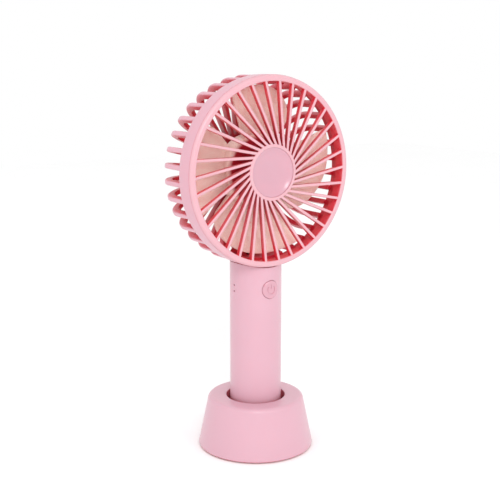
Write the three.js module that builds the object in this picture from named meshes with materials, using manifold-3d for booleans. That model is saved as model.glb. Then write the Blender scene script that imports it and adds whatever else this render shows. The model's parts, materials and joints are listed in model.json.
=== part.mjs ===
// A handheld electric fan standing in its small round stand.
// Millimetres, +Z up. The origin is the middle of the stand's underside, the handle's axis is the Z axis,
// and the fan blows towards -Y.
import * as THREE from "three";
import { mergeVertices } from "three/addons/utils/BufferGeometryUtils.js";
import Module from "manifold-3d";

const wasm = await Module();
wasm.setup();

// ---------- driving dimensions ----------

const CLEARANCE = 0.3; // between neighbouring pieces
const OVERRUN = 1; // how far a cut runs past a face, or a joined piece into its neighbour

// Stand
const STAND_BOTTOM_R = 32.9;
const STAND_TOP_R = 26.9;
const STAND_HEIGHT = 29.4;
const STAND_WALL = 2;
const STAND_EDGE_R = 2.6; // rounding of the upper rim
const STAND_LIP = 0.8; // chamfer of the foot and of the well's mouth
const WELL_GAP = 2.2; // between the handle and the well that it stands in
const WELL_FLOOR = 1.6;
const FOOT_PAD_THICKNESS = 1.2;
const BASE_PLATE_THICKNESS = 2;

// Handle
const HANDLE_R = 14.5;
const HANDLE_WALL = 1.6;
const CAP_HEIGHT = 2.8;
const CAP_EDGE_R = 1.4;
const PLUG_LENGTH = 2.5;
const SCREW_R = 1;
const SCREW_HEAD_R = 2;
const SCREW_HEAD_HEIGHT = 1.2;

// Battery, a round 18650 cell, and the chassis that holds it
const CELL_R = 9.2;
const CELL_LENGTH = 65;
const CELL_GAP = 0.5;
const TAB_THICKNESS = 0.4;
const TAB_WIDTH = 6;
const TAB_INSET = 0.7; // from the cell's side to the end of the tab
const CELL_EDGE_R = 0.8;
const CELL_BUTTON_R = 3;
const CELL_BUTTON_HEIGHT = 1.2;
const CHASSIS_WALL = 1.6;
const RAIL_GAP = 0.4; // to the board's edge
const RAIL_DEPTH = 3.6;
const RAIL_END = 2; // above the screw's hole
const WIRE_R = 0.45;

// Circuit board
const BOARD_WIDTH = 15;
const BOARD_HEIGHT = 21.5;
const BOARD_THICKNESS = 1.2;
const BOARD_FRONT_Y = 2;
const HEAD_GAP = 0.4; // from the rails to the head
const CHASSIS_SCREW_HEAD = 0.7;
const CHASSIS_SCREW_RISE = 3; // of the screws above the spigot's lower end

// Power button, its switch, the two indicator lights and the charging port
const BUTTON_DROP = 9.8; // of the button, the lights and the port below the board's upper edge
const BUTTON_R = 5.2;
const BUTTON_EDGE = 0.5;
const BUTTON_DISH = 0.3;
const BUTTON_PROUD = 0.7;
const BUTTON_TRAVEL = 0.5;
const BUTTON_LIP = 1.1; // of the retaining flange, past the button's side
const BUTTON_FLANGE_THICKNESS = 1;
const BUTTON_STEM_R = 1.6;
const SWITCH_SIZE = 6;
const SWITCH_DEPTH = 3.1;
const PLUNGER_R = 1.7;
const PLUNGER_LENGTH = 3.2;
const PLUNGER_PROUD = 1.6;
const LIGHT_SPACING = 3.4;
const LIGHT_R = 0.55;
const LIGHT_RECESS = 0.4;
const LIGHT_INSET = 1.5; // of the lights from the board's side
const PORT_WIDTH = 7.6;
const PORT_HEIGHT = 3.2;
const PORT_WALL = 0.4;
const PORT_RECESS = 1.5; // of its mouth in the handle's surface
const PORT_DEPTH = 6;
const PORT_SLOT_GAP = 0.8;
const PORT_TONGUE_THICKNESS = 0.7;
const PORT_TONGUE_GAP = 0.8; // round the tongue, inside the shell

// Head: the round cage and its front grille
const RING_R = 51.8;
const RING_WALL = 2.2;
const RING_REAR_Y = -5;
const RING_CHAMFER = 0.6;
const FRONT_Y = -16.5;
const GRILLE_STEP = 0.8; // from the ring's side in to the grille's rim
const GRILLE_EDGE_R = 1.4;
const GRILLE_FLANGE = 1.5;
const GRILLE_SKIRT_WALL = 1;
const GRILLE_SKIRT_DEPTH = 5;
const BAR_COUNT = 34;
const BAR_TANGENT_R = 8.4; // each bar is a straight line that touches a circle of this radius
const BAR_PHASE = 4.83; // degrees
const BAR_WIDTH = 1.6;
const BAR_DEPTH = 2.8;
const BAR_SETBACK = 0.2; // of the bars and the badge behind the rim's front
const HUB_DISC_R = 15.3;
const HUB_DISC_DEPTH = 3.5;
const HUB_DISC_CHAMFER = 0.4;
const BADGE_R = 13.4;
const BADGE_THICKNESS = 1;
const BADGE_DISH = 0.9;
const FIN_COUNT = 36;
const FIN_INSET = 0.2; // of the fins from the ring's side
const FIN_CORNER_R = 12;
const FIN_SIDE_DEPTH = 3.6;
const FIN_REAR_DEPTH = 4.4;
const FIN_THICKNESS_OUTER = 2.8;
const FIN_THICKNESS_INNER = 1.4;
const FIN_ROOT = 1.5; // how far a fin runs into the ring
const NECK_SKIN = 1.2; // over the spigot, inside the cage's outer surface
const NECK_SPIGOT_WALL = 2.4;
const NECK_SPIGOT_GAP = 0.4; // above the button's flange
const NECK_HOLE_R = 2.6;
const NECK_HOLE_Y = 5.3;
const WIRE_WEB_WIDTH = 5.8;
const WIRE_WEB_THICKNESS = 1.6;
const WIRE_WEB_SETBACK = 0.2;
const WIRE_NOTCH_END = 0.5;
const WIRE_NOTCH_WIDTH = 4.4;
const WIRE_THROAT_HEIGHT = 2.5; // the notch is open at the back from here inwards
const WIRE_STANDOFF = 1.1; // from the wire to the wall that it runs along
const MOTOR_WIRE_X = 1;

// Motor, in the cup in the middle of the cage
const MOTOR_R = 12.1;
const MOTOR_FRONT_Y = 6;
const MOTOR_CAN_LENGTH = 10;
const MOTOR_CAN_WALL = 0.8;
const MOTOR_END_CAP = 1.3;
const MOTOR_SCREW_INSET = 4.1; // from the can's side
const MOTOR_SCREW_REACH = 0.6; // past the can's front wall
const MAGNET_THICKNESS = 2.2;
const MAGNET_SETBACK = 1.2; // from the can's front wall
const MAGNET_END_GAP = 0.8;
const ROTOR_GAP = 0.9; // of air, between the magnet and the core
const BUSH_R = 2.4;
const BUSH_LENGTH = 2;
const BUSH_PROUD = 0.8; // in front of the can
const SHAFT_R = 1;
const TERMINAL_X = 4;
const TERMINAL_Z = 2;
const TERMINAL_WIDTH = 1.6;
const TERMINAL_LENGTH = 2.4;
const TERMINAL_THICKNESS = 0.8;
const COMMUTATOR_R = 2.5;
const BRUSH_THICKNESS = 0.5;
const BRUSH_WIDTH = 2;
const POLE_COUNT = 3;
const SHOE_THICKNESS = 1.6;
const SHOE_ANGLE = 46; // degrees to each side of its arm
const CORE_MIDDLE_R = 3;
const CORE_ARM_WIDTH = 3;
const CORE_LENGTH = 4.4;
const CORE_SETBACK = 2.2; // from the can's front wall
const COIL_THICKNESS = 1;
const COIL_END_THICKNESS = 1.2;
const CUP_WALL = 1.6;
const CUP_GAP = 0.5;
const CUP_HOLE_R = 4.2;
const CUP_FLANGE_WIDTH = 4.8;
const REAR_MARGIN = 1.4; // from the motor to the cage's rear face
const COVER_INSET = 1.2; // from the flange's edge
const COVER_RISE = 3.8; // behind the cage's rear face
const COVER_HOLLOW = 1.2;
const COVER_EDGE_R = 1.5;
const COVER_CROWN = 0.4;

// Impeller
const BLADE_TIP_GAP = 2; // to the grille's opening
const BLADE_COUNT = 4;
const BLADE_THICKNESS = 1.3;
const BLADE_FRONT_EDGE = 28; // degrees, of the first blade
const BLADE_REAR_EDGE = -46;
const BLADE_SWEEP = 48; // degrees that the rear edge turns by, out to the tip
const BLADE_SWEEP_R = 30; // where that sweep starts
const BLADE_ROOT_Y = [-0.2, 7.2]; // front and rear edge at the hub
const BLADE_TIP_Y = [-8.8, 4.6];
const IMPELLER_HUB_GAP = 3.7; // round the motor's cup
const IMPELLER_HUB_WALL = 1.6;
const IMPELLER_HUB_FRONT_Y = -2;
const IMPELLER_HUB_REAR_Y = 8.2;
const IMPELLER_HUB_EDGE_R = 2.5;
const IMPELLER_BOSS_R = 3.4;
const IMPELLER_BOSS_FRONT_Y = -4.5;
const IMPELLER_BOSS_GAP = 1.5; // in front of the cup
const SHAFT_SETBACK = 0.4; // from the boss's front

// ---------- places worked out from the dimensions ----------

const WELL_R = HANDLE_R + WELL_GAP;
const BASE_PLATE_Z = FOOT_PAD_THICKNESS + CLEARANCE;
const WELL_BOTTOM_Z = BASE_PLATE_Z + BASE_PLATE_THICKNESS + CLEARANCE;
const WELL_FLOOR_Z = WELL_BOTTOM_Z + WELL_FLOOR;

const CAP_Z = WELL_FLOOR_Z + CLEARANCE;
const SLEEVE_Z = CAP_Z + CAP_HEIGHT + CLEARANCE;
const HANDLE_BORE_R = HANDLE_R - HANDLE_WALL;
const INSERT_R = HANDLE_BORE_R - CLEARANCE; // of everything that slides into the sleeve
const CHASSIS_Z = CAP_Z + CAP_HEIGHT + PLUG_LENGTH + CLEARANCE;
const CHASSIS_FLOOR_Z = CHASSIS_Z + CHASSIS_WALL;
const TAB_LOW_Z = CHASSIS_FLOOR_Z + CLEARANCE;
const CELL_Z = TAB_LOW_Z + TAB_THICKNESS + CLEARANCE;
const TAB_HIGH_Z = CELL_Z + CELL_LENGTH + CLEARANCE;
const BULKHEAD_Z = TAB_HIGH_Z + TAB_THICKNESS + CLEARANCE;
const BOARD_Z = BULKHEAD_Z + CHASSIS_WALL + CLEARANCE;
const BOARD_TOP_Z = BOARD_Z + BOARD_HEIGHT;
const BOARD_REAR_Y = BOARD_FRONT_Y + BOARD_THICKNESS;
const RAIL_INNER_X = BOARD_WIDTH / 2 + RAIL_GAP;
const BUTTON_Z = BOARD_TOP_Z - BUTTON_DROP;
const BUTTON_FLANGE_R = BUTTON_R + BUTTON_LIP;
const PORT_MOUTH_Y = HANDLE_R - PORT_RECESS;
const PORT_FLOOR_Y = PORT_MOUTH_Y - PORT_DEPTH;
const PORT_INNER_WIDTH = PORT_WIDTH - 2 * PORT_WALL;

const GRILLE_FLANGE_REAR_Y = FRONT_Y + GRILLE_FLANGE;
const GRILLE_RIM_R = RING_R - GRILLE_STEP;
const RING_FRONT_Y = GRILLE_FLANGE_REAR_Y + CLEARANCE;
const RING_BORE_R = RING_R - RING_WALL;
const SKIRT_R = RING_BORE_R - CLEARANCE;
const OPENING_R = SKIRT_R - GRILLE_SKIRT_WALL;
const FIN_OUTER_R = RING_R - FIN_INSET;
const IMPELLER_TIP_R = OPENING_R - BLADE_TIP_GAP;

const SPIGOT_Z = BUTTON_Z + BUTTON_FLANGE_R + NECK_SPIGOT_GAP;
const SPIGOT_BORE_R = INSERT_R - NECK_SPIGOT_WALL;
const CHASSIS_SCREW_Z = SPIGOT_Z + CHASSIS_SCREW_RISE;
const RAIL_TOP_Z = CHASSIS_SCREW_Z + SCREW_R + RAIL_END;
const HEAD_Z = RAIL_TOP_Z + HEAD_GAP + FIN_OUTER_R;
const RAIL_FRONT_Y = BOARD_FRONT_Y - 2 * CLEARANCE;
const CHASSIS_SCREW_Y = RAIL_FRONT_Y + RAIL_DEPTH / 2;
const CHASSIS_SCREW_SEAT_X =
  Math.sqrt(INSERT_R ** 2 - (CHASSIS_SCREW_Y + SCREW_HEAD_R) ** 2) - CHASSIS_SCREW_HEAD;
const SWITCH_FRONT_Y = BOARD_FRONT_Y - CLEARANCE - SWITCH_DEPTH;
const PLUNGER_Y = SWITCH_FRONT_Y - PLUNGER_PROUD;
const LIGHT_X = -BOARD_WIDTH / 2 + LIGHT_INSET;
const CELL_WIRE_Y = -CELL_R - CELL_GAP - 2 * WIRE_R;
const BOARD_WIRE_Z = BOARD_Z + 2;

const CUP_BORE_R = MOTOR_R + CUP_GAP;
const CUP_R = CUP_BORE_R + CUP_WALL;
const CUP_FRONT_Y = MOTOR_FRONT_Y - CLEARANCE - CUP_WALL;
const MOTOR_CAN_REAR_Y = MOTOR_FRONT_Y + MOTOR_CAN_LENGTH;
const END_CAP_Y = MOTOR_CAN_REAR_Y + CLEARANCE;
const END_CAP_REAR_Y = END_CAP_Y + MOTOR_END_CAP;
const CUP_FLANGE_R = CUP_R + CUP_FLANGE_WIDTH;
const IMPELLER_HUB_R = CUP_R + IMPELLER_HUB_GAP + IMPELLER_HUB_WALL;
const FIN_REAR_Y = END_CAP_REAR_Y + REAR_MARGIN;
const COVER_R = CUP_FLANGE_R - COVER_INSET;
const COVER_Y = FIN_REAR_Y + CLEARANCE;
const COVER_REAR_Y = FIN_REAR_Y + COVER_RISE;
const BAR_FRONT_Y = FRONT_Y + BAR_SETBACK;
const BADGE_SEAT_Y = BAR_FRONT_Y + BADGE_DISH + BADGE_THICKNESS + CLEARANCE;
const CAN_INNER_Y = MOTOR_FRONT_Y + MOTOR_CAN_WALL;
const CAN_INNER_R = MOTOR_R - MOTOR_CAN_WALL;
const MOTOR_SCREW_X = MOTOR_R - MOTOR_SCREW_INSET;
const MAGNET_Y = CAN_INNER_Y + MAGNET_SETBACK;
const MAGNET_OUTER_R = CAN_INNER_R - CLEARANCE;
const MAGNET_INNER_R = MAGNET_OUTER_R - MAGNET_THICKNESS;
const CORE_R = MAGNET_INNER_R - ROTOR_GAP;
const CORE_SHOE_R = CORE_R - SHOE_THICKNESS;
const CORE_Y = CAN_INNER_Y + CORE_SETBACK;
const COMMUTATOR_Y = CORE_Y + CORE_LENGTH + CLEARANCE;
const BORE_R = SHAFT_R + 0.25; // round the shaft, in whatever turns on it or with it
const WIRE_RUN_Y = FIN_REAR_Y - FIN_REAR_DEPTH - WIRE_R - WIRE_STANDOFF;

// ---------- geometry helpers ----------

const FINE = 48;
const ROUND = 32;
const SMALL = 12;
const TINY = 8;
const rad = THREE.MathUtils.degToRad;

// A closed three.js geometry as a manifold-3d solid.
function solid(geometry) {
  geometry.deleteAttribute("normal");
  geometry.deleteAttribute("uv");
  const merged = mergeVertices(geometry, 1e-4);
  return new wasm.Manifold(
    new wasm.Mesh({
      numProp: 3,
      vertProperties: merged.attributes.position.array,
      triVerts: new Uint32Array(merged.index.array),
    }),
  );
}

function join(pieces) {
  return pieces.reduce((whole, piece) => whole.add(piece));
}

function cutAll(body, cuts) {
  return cuts.reduce((rest, cut) => rest.subtract(cut), body);
}

// Points on an arc from one angle to another, in degrees.
function arc(x, y, r, from, to, steps) {
  return Array.from({ length: steps + 1 }, (_, i) => {
    const a = rad(from + ((to - from) * i) / steps);
    return [x + r * Math.cos(a), y + r * Math.sin(a)];
  });
}

// A profile of [radius, distance along the axis] points turned about the Y axis.
// It runs counter-clockwise: outwards, up the outside, inwards and down the inside.
function turnedY(profile, segments) {
  const points = profile.map(([r, y]) => new THREE.Vector2(r, y));
  return new THREE.LatheGeometry(points, segments);
}

function turnedZ(profile, segments) {
  return turnedY(profile, segments).rotateX(Math.PI / 2);
}

function closed(profile) {
  return [...profile, profile[0]];
}

function ringProfile(inner, outer, low, high) {
  return closed([[inner, low], [outer, low], [outer, high], [inner, high]]);
}

function discProfile(r, low, high) {
  return [[0, low], [r, low], [r, high], [0, high]];
}

// A box given by its lowest and highest corners.
function box([x0, y0, z0], [x1, y1, z1]) {
  const geometry = new THREE.BoxGeometry(x1 - x0, y1 - y0, z1 - z0);
  return geometry.translate((x0 + x1) / 2, (y0 + y1) / 2, (z0 + z1) / 2);
}

// A straight round rod between two points.
function rod(r, from, to, segments) {
  const start = new THREE.Vector3(...from);
  const direction = new THREE.Vector3(...to).sub(start);
  const length = direction.length();
  const turn = new THREE.Quaternion().setFromUnitVectors(new THREE.Vector3(0, 1, 0), direction.normalize());
  return turnedY(discProfile(r, 0, length), segments).applyQuaternion(turn).translate(...from);
}

// A wire along a smooth curve through the points.
function wire(points, steps) {
  const path = new THREE.CatmullRomCurve3(points.map((p) => new THREE.Vector3(...p)));
  const section = new THREE.Shape(arc(0, 0, WIRE_R, 0, 315, 7).map(([x, y]) => new THREE.Vector2(x, y)));
  return new THREE.ExtrudeGeometry(section, { steps, extrudePath: path });
}

// A flat outline in the plane of a radius and the Y axis, made into a plate of the given thickness.
function radialPlate(outline, thickness) {
  const shape = new THREE.Shape(outline.map(([r, y]) => new THREE.Vector2(r, y)));
  const geometry = new THREE.ExtrudeGeometry(shape, { depth: thickness, bevelEnabled: false });
  return geometry.translate(0, 0, -thickness / 2);
}

// Turns a piece about the Y axis, counter-clockwise as seen from the front.
function turned(geometry, degrees) {
  return geometry.rotateY(-rad(degrees));
}

// ---------- assembly ----------

const fan = new THREE.Group();
const head = new THREE.Group();
head.position.z = HEAD_Z;
fan.add(head);

function add(parent, name, shape, color, roughness, metalness = 0) {
  let geometry = shape;
  if (!shape.isBufferGeometry) {
    const mesh = shape.getMesh();
    geometry = new THREE.BufferGeometry();
    geometry.setAttribute("position", new THREE.BufferAttribute(mesh.vertProperties, 3));
    geometry.setIndex(new THREE.BufferAttribute(mesh.triVerts, 1));
    geometry.computeVertexNormals();
  }
  const material = new THREE.MeshStandardMaterial({ color, roughness, metalness });
  const mesh = new THREE.Mesh(geometry, material);
  mesh.name = name;
  parent.add(mesh);
}

const PINK = 0xf0b9c8;
const PEACH = 0xe6b09c;
const STEEL = 0xb9bcc0;
const BRASS = 0xc9a560;
const COPPER = 0xb5683c;
const BLACK = 0x202022;

// ---------- stand ----------

// The outer wall's radius at a height: it narrows evenly from bottom to top.
function standRadius(z) {
  return THREE.MathUtils.lerp(STAND_BOTTOM_R, STAND_TOP_R, z / STAND_HEIGHT);
}

function standShell() {
  const rim = FOOT_PAD_THICKNESS / 2;
  const wellOuterR = WELL_R + STAND_WALL;
  const ceiling = STAND_HEIGHT - STAND_WALL;
  const edgeX = STAND_TOP_R - STAND_EDGE_R;
  const edgeZ = STAND_HEIGHT - STAND_EDGE_R;
  return turnedZ([
    [0, WELL_BOTTOM_Z],
    [wellOuterR, WELL_BOTTOM_Z],
    [wellOuterR, ceiling],
    [standRadius(ceiling) - STAND_WALL, ceiling],
    [standRadius(rim) - STAND_WALL, rim],
    [standRadius(rim) - STAND_LIP, rim],
    [standRadius(rim + STAND_LIP), rim + STAND_LIP],
    ...arc(edgeX, edgeZ, STAND_EDGE_R, 0, 90, 4),
    [WELL_R + STAND_LIP, STAND_HEIGHT],
    [WELL_R, STAND_HEIGHT - STAND_LIP],
    [WELL_R, WELL_FLOOR_Z],
    [0, WELL_FLOOR_Z],
  ], ROUND);
}

function standBasePlate() {
  const r = standRadius(BASE_PLATE_Z + BASE_PLATE_THICKNESS) - STAND_WALL - CLEARANCE;
  return turnedZ(discProfile(r, BASE_PLATE_Z, BASE_PLATE_Z + BASE_PLATE_THICKNESS), ROUND);
}

function standFootPad() {
  const r = standRadius(FOOT_PAD_THICKNESS) - STAND_WALL - 2 * CLEARANCE;
  return turnedZ(discProfile(r, 0, FOOT_PAD_THICKNESS), ROUND);
}

add(fan, "stand_shell", standShell(), PINK, 0.45);
add(fan, "stand_base_plate", standBasePlate(), PINK, 0.6);
add(fan, "stand_foot_pad", standFootPad(), 0xd9d4d4, 0.9);

// ---------- handle ----------

// The head's outer surface, grown by a clearance and carried on past the handle's front, in the head's frame.
function headEnvelope(grow) {
  const outer = RING_R + grow;
  const corner = FIN_CORNER_R + grow;
  const front = Math.min(FRONT_Y, -HANDLE_R) - OVERRUN;
  return turnedY([
    [0, front],
    [outer, front],
    ...arc(outer - corner, FIN_REAR_Y - FIN_CORNER_R, corner, 0, 90, 5),
    [0, FIN_REAR_Y + grow],
  ], FINE);
}

function handleSleeve() {
  const tube = solid(turnedZ(ringProfile(HANDLE_BORE_R, HANDLE_R, SLEEVE_Z, HEAD_Z), ROUND));
  const outside = HANDLE_R + OVERRUN;
  const buttonHole = solid(rod(BUTTON_R + CLEARANCE, [0, -outside, BUTTON_Z], [0, 0, BUTTON_Z], SMALL));
  const slotX = PORT_WIDTH / 2 + PORT_SLOT_GAP;
  const slotZ = PORT_HEIGHT / 2 + PORT_SLOT_GAP;
  const portSlot = solid(box([-slotX, 0, BUTTON_Z - slotZ], [slotX, outside, BUTTON_Z + slotZ]));
  const lightHoles = lightHeights().map((z) =>
    solid(rod(LIGHT_R + CLEARANCE, [-outside, 0, z], [-HANDLE_BORE_R + OVERRUN, 0, z], TINY)),
  );
  const saddle = solid(headEnvelope(CLEARANCE).translate(0, 0, HEAD_Z));
  return cutAll(tube, [buttonHole, portSlot, ...lightHoles, saddle]);
}

function lightHeights() {
  return [BUTTON_Z - LIGHT_SPACING / 2, BUTTON_Z + LIGHT_SPACING / 2];
}

function handleBottomCap() {
  const plugTop = CAP_Z + CAP_HEIGHT + PLUG_LENGTH;
  const counterbore = CAP_Z + SCREW_HEAD_HEIGHT + 2 * CLEARANCE;
  const counterboreR = SCREW_HEAD_R + CLEARANCE;
  const holeR = SCREW_R + CLEARANCE;
  return turnedZ(closed([
    [holeR, counterbore],
    [counterboreR, counterbore],
    [counterboreR, CAP_Z],
    ...arc(HANDLE_R - CAP_EDGE_R, CAP_Z + CAP_EDGE_R, CAP_EDGE_R, -90, 0, 4),
    [HANDLE_R, CAP_Z + CAP_HEIGHT],
    [INSERT_R, CAP_Z + CAP_HEIGHT],
    [INSERT_R, plugTop],
    [holeR, plugTop],
  ]), ROUND);
}

// A pan-headed screw that points along +Y from its head, with its head's underside at the origin.
function screw(length, headHeight) {
  return turnedY([
    [0, -headHeight],
    [SCREW_HEAD_R - 0.5, -headHeight],
    [SCREW_HEAD_R, -headHeight / 2],
    [SCREW_HEAD_R, 0],
    [SCREW_R, 0],
    [SCREW_R, length],
    [0, length],
  ], SMALL);
}

function capScrew() {
  const seat = CAP_Z + SCREW_HEAD_HEIGHT + CLEARANCE;
  const length = CHASSIS_FLOOR_Z - seat;
  return screw(length, SCREW_HEAD_HEIGHT).rotateX(Math.PI / 2).translate(0, 0, seat);
}

// A cradle round the cell, open at the front, with a floor, a bulkhead and two rails for the circuit board.
function chassis() {
  const bore = CELL_R + CELL_GAP;
  const top = BULKHEAD_Z + CHASSIS_WALL;
  const cradle = solid(turnedZ(ringProfile(bore, bore + CHASSIS_WALL, CHASSIS_Z, top), ROUND));
  const plate = (z) => solid(turnedZ(discProfile(INSERT_R, z, z + CHASSIS_WALL), ROUND));
  const rails = [-1, 1].map((side) => {
    const [x0, x1] = [side * RAIL_INNER_X, side * INSERT_R].sort((a, b) => a - b);
    return solid(box([x0, RAIL_FRONT_Y, top - OVERRUN], [x1, RAIL_FRONT_Y + RAIL_DEPTH, RAIL_TOP_Z]));
  });
  const spigotInside = discProfile(SPIGOT_BORE_R - CLEARANCE, SPIGOT_Z - OVERRUN, RAIL_TOP_Z);
  const belowSpigot = discProfile(INSERT_R, CHASSIS_Z, SPIGOT_Z - CLEARANCE);
  const room = solid(turnedZ(belowSpigot, ROUND)).add(solid(turnedZ(spigotInside, ROUND)));
  const frontCorner = [HANDLE_R, -CELL_R / 2, top + OVERRUN];
  const frontCut = solid(box([-HANDLE_R, -HANDLE_R, CHASSIS_FLOOR_Z], frontCorner));
  const holeFrom = [0, 0, CHASSIS_Z - OVERRUN];
  const capScrewHole = solid(rod(SCREW_R + CLEARANCE, holeFrom, [0, 0, CHASSIS_FLOOR_Z + OVERRUN], SMALL));
  const body = join([cradle, plate(CHASSIS_Z), plate(BULKHEAD_Z), ...rails]).intersect(room);
  return cutAll(body, [frontCut, capScrewHole, ...chassisScrewHoles()]);
}

function chassisScrewHoles() {
  return [-1, 1].map((side) => {
    const from = [side * (RAIL_INNER_X - OVERRUN), CHASSIS_SCREW_Y, CHASSIS_SCREW_Z];
    const to = [side * HANDLE_R, CHASSIS_SCREW_Y, CHASSIS_SCREW_Z];
    return solid(rod(SCREW_R + CLEARANCE, from, to, TINY));
  });
}

// One of the two screws that hold the chassis's rails to the head's spigot, lying along X.
function chassisScrew(side) {
  const length = CHASSIS_SCREW_SEAT_X - RAIL_INNER_X;
  return screw(length, CHASSIS_SCREW_HEAD).rotateZ((side * Math.PI) / 2)
    .translate(side * CHASSIS_SCREW_SEAT_X, CHASSIS_SCREW_Y, CHASSIS_SCREW_Z);
}

add(fan, "handle_sleeve", handleSleeve(), PINK, 0.45);
add(fan, "handle_bottom_cap", handleBottomCap(), PINK, 0.45);
add(fan, "cap_screw", capScrew(), STEEL, 0.3, 1);
add(fan, "chassis", chassis(), 0xe9e6e2, 0.6);
add(fan, "chassis_screw_left", chassisScrew(-1), STEEL, 0.3, 1);
add(fan, "chassis_screw_right", chassisScrew(1), STEEL, 0.3, 1);

// ---------- battery and electronics ----------

// The wrapped steel can, with the raised positive button on top.
function batteryCell() {
  const shoulder = CELL_Z + CELL_LENGTH - CELL_BUTTON_HEIGHT;
  const edgeX = CELL_R - CELL_EDGE_R;
  return turnedZ([
    [0, CELL_Z],
    ...arc(edgeX, CELL_Z + CELL_EDGE_R, CELL_EDGE_R, -90, 0, 2),
    ...arc(edgeX, shoulder - CELL_EDGE_R, CELL_EDGE_R, 0, 90, 2),
    [CELL_BUTTON_R, shoulder],
    [CELL_BUTTON_R, CELL_Z + CELL_LENGTH],
    [0, CELL_Z + CELL_LENGTH],
  ], ROUND);
}

// A nickel strip on one end of the cell, reaching to the cradle's open front.
function batteryTab(z) {
  return box([-TAB_WIDTH / 2, -CELL_R + TAB_INSET, z], [TAB_WIDTH / 2, TAB_WIDTH / 2, z + TAB_THICKNESS]);
}

function circuitBoard() {
  const half = BOARD_WIDTH / 2;
  return box([-half, BOARD_FRONT_Y, BOARD_Z], [half, BOARD_REAR_Y, BOARD_TOP_Z]);
}

// A block that stands on the board's front or rear face, centred at x and z.
function onBoard(x, z, width, height, depth, face) {
  const near = face === "front" ? BOARD_FRONT_Y - CLEARANCE - depth : BOARD_REAR_Y + CLEARANCE;
  return box([x - width / 2, near, z - height / 2], [x + width / 2, near + depth, z + height / 2]);
}

function switchBody() {
  const body = solid(onBoard(0, BUTTON_Z, SWITCH_SIZE, SWITCH_SIZE, SWITCH_DEPTH, "front"));
  const wellFloor = PLUNGER_Y + PLUNGER_LENGTH + BUTTON_TRAVEL + CLEARANCE;
  const mouth = [0, SWITCH_FRONT_Y - OVERRUN, BUTTON_Z];
  return body.subtract(solid(rod(PLUNGER_R + CLEARANCE, mouth, [0, wellFloor, BUTTON_Z], SMALL)));
}

function switchPlunger() {
  return rod(PLUNGER_R, [0, PLUNGER_Y, BUTTON_Z], [0, PLUNGER_Y + PLUNGER_LENGTH, BUTTON_Z], SMALL);
}

// The round cap with a slightly dished face, its retaining flange and the stem that pushes the switch.
function powerButton() {
  const face = -HANDLE_R - BUTTON_PROUD;
  const flangeFront = -Math.sqrt(HANDLE_BORE_R ** 2 - BUTTON_FLANGE_R ** 2) + CLEARANCE;
  const flangeRear = flangeFront + BUTTON_FLANGE_THICKNESS;
  return turnedY([
    [0, face + BUTTON_DISH],
    [BUTTON_R - 2 * BUTTON_EDGE, face],
    [BUTTON_R - BUTTON_EDGE, face],
    [BUTTON_R, face + BUTTON_EDGE],
    [BUTTON_R, flangeFront],
    [BUTTON_FLANGE_R, flangeFront],
    [BUTTON_FLANGE_R, flangeRear],
    [BUTTON_STEM_R, flangeRear],
    [BUTTON_STEM_R, PLUNGER_Y - CLEARANCE],
    [0, PLUNGER_Y - CLEARANCE],
  ], SMALL).translate(0, 0, BUTTON_Z);
}

// A clear moulding: two prongs that end just inside the sleeve's side, joined by a bridge.
function lightPipe() {
  const bridgeX = -HANDLE_BORE_R + 1.5;
  const bridgeWidth = 1.2;
  const tip = -HANDLE_R + LIGHT_RECESS;
  const root = -BOARD_WIDTH / 2;
  const prongs = lightHeights().map((z) => solid(rod(LIGHT_R, [tip, 0, z], [root, 0, z], TINY)));
  const [low, high] = lightHeights();
  const corner = [bridgeX + bridgeWidth, LIGHT_R, high + LIGHT_R];
  const bridge = solid(box([bridgeX, -LIGHT_R, low - LIGHT_R], corner));
  return join([bridge, ...prongs]);
}

function indicatorLight(z) {
  return onBoard(LIGHT_X, z, 2.4, 1.6, 1.2, "front");
}

// A metal shell with a rounded-ended section, closed at the board and open at the back of the handle.
function portShell() {
  const outer = slotBlock(PORT_WIDTH, PORT_HEIGHT, BOARD_REAR_Y + CLEARANCE, PORT_MOUTH_Y);
  const innerHeight = PORT_HEIGHT - 2 * PORT_WALL;
  const inner = slotBlock(PORT_INNER_WIDTH, innerHeight, PORT_FLOOR_Y, PORT_MOUTH_Y + OVERRUN);
  return solid(outer).subtract(solid(inner));
}

function portTongue() {
  const x = PORT_INNER_WIDTH / 2 - PORT_TONGUE_GAP;
  const half = PORT_TONGUE_THICKNESS / 2;
  const tip = PORT_MOUTH_Y - PORT_TONGUE_GAP;
  return box([-x, PORT_FLOOR_Y + CLEARANCE, BUTTON_Z - half], [x, tip, BUTTON_Z + half]);
}

// A block with semicircular ends, lying along Y.
function slotBlock(width, height, fromY, toY) {
  const r = height / 2;
  const ends = [...arc(width / 2 - r, 0, r, -90, 90, 6), ...arc(r - width / 2, 0, r, 90, 270, 6)];
  const shape = new THREE.Shape(ends.map(([x, z]) => new THREE.Vector2(x, z)));
  const geometry = new THREE.ExtrudeGeometry(shape, { depth: toY - fromY, bevelEnabled: false });
  return geometry.rotateX(Math.PI / 2).translate(0, toY, BUTTON_Z);
}

// ---------- wires ----------

// From a tab on the cell, up in front of the cell and back over the bulkhead to the board. Each wire's points
// are chosen by hand, from the pieces that it passes.
function batteryWire(x, tabZ) {
  const startZ = tabZ + WIRE_R;
  const rise = startZ < CELL_Z ? [0.1, 0.4, 0.8].map((t) => [x, CELL_WIRE_Y, CELL_Z + t * CELL_LENGTH]) : [];
  return wire([
    [x, -CELL_R + TAB_INSET - CLEARANCE, startZ],
    [x, -CELL_R - 2 * CLEARANCE, startZ + WIRE_R],
    ...rise,
    [x, CELL_WIRE_Y, BULKHEAD_Z + CHASSIS_WALL],
    [x, -CELL_R + 2, BOARD_WIRE_Z - 0.4],
    [x, -CELL_R / 4, BOARD_WIRE_Z],
    [x, BOARD_FRONT_Y - CLEARANCE, BOARD_WIRE_Z],
  ], startZ < CELL_Z ? 26 : 10);
}

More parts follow.
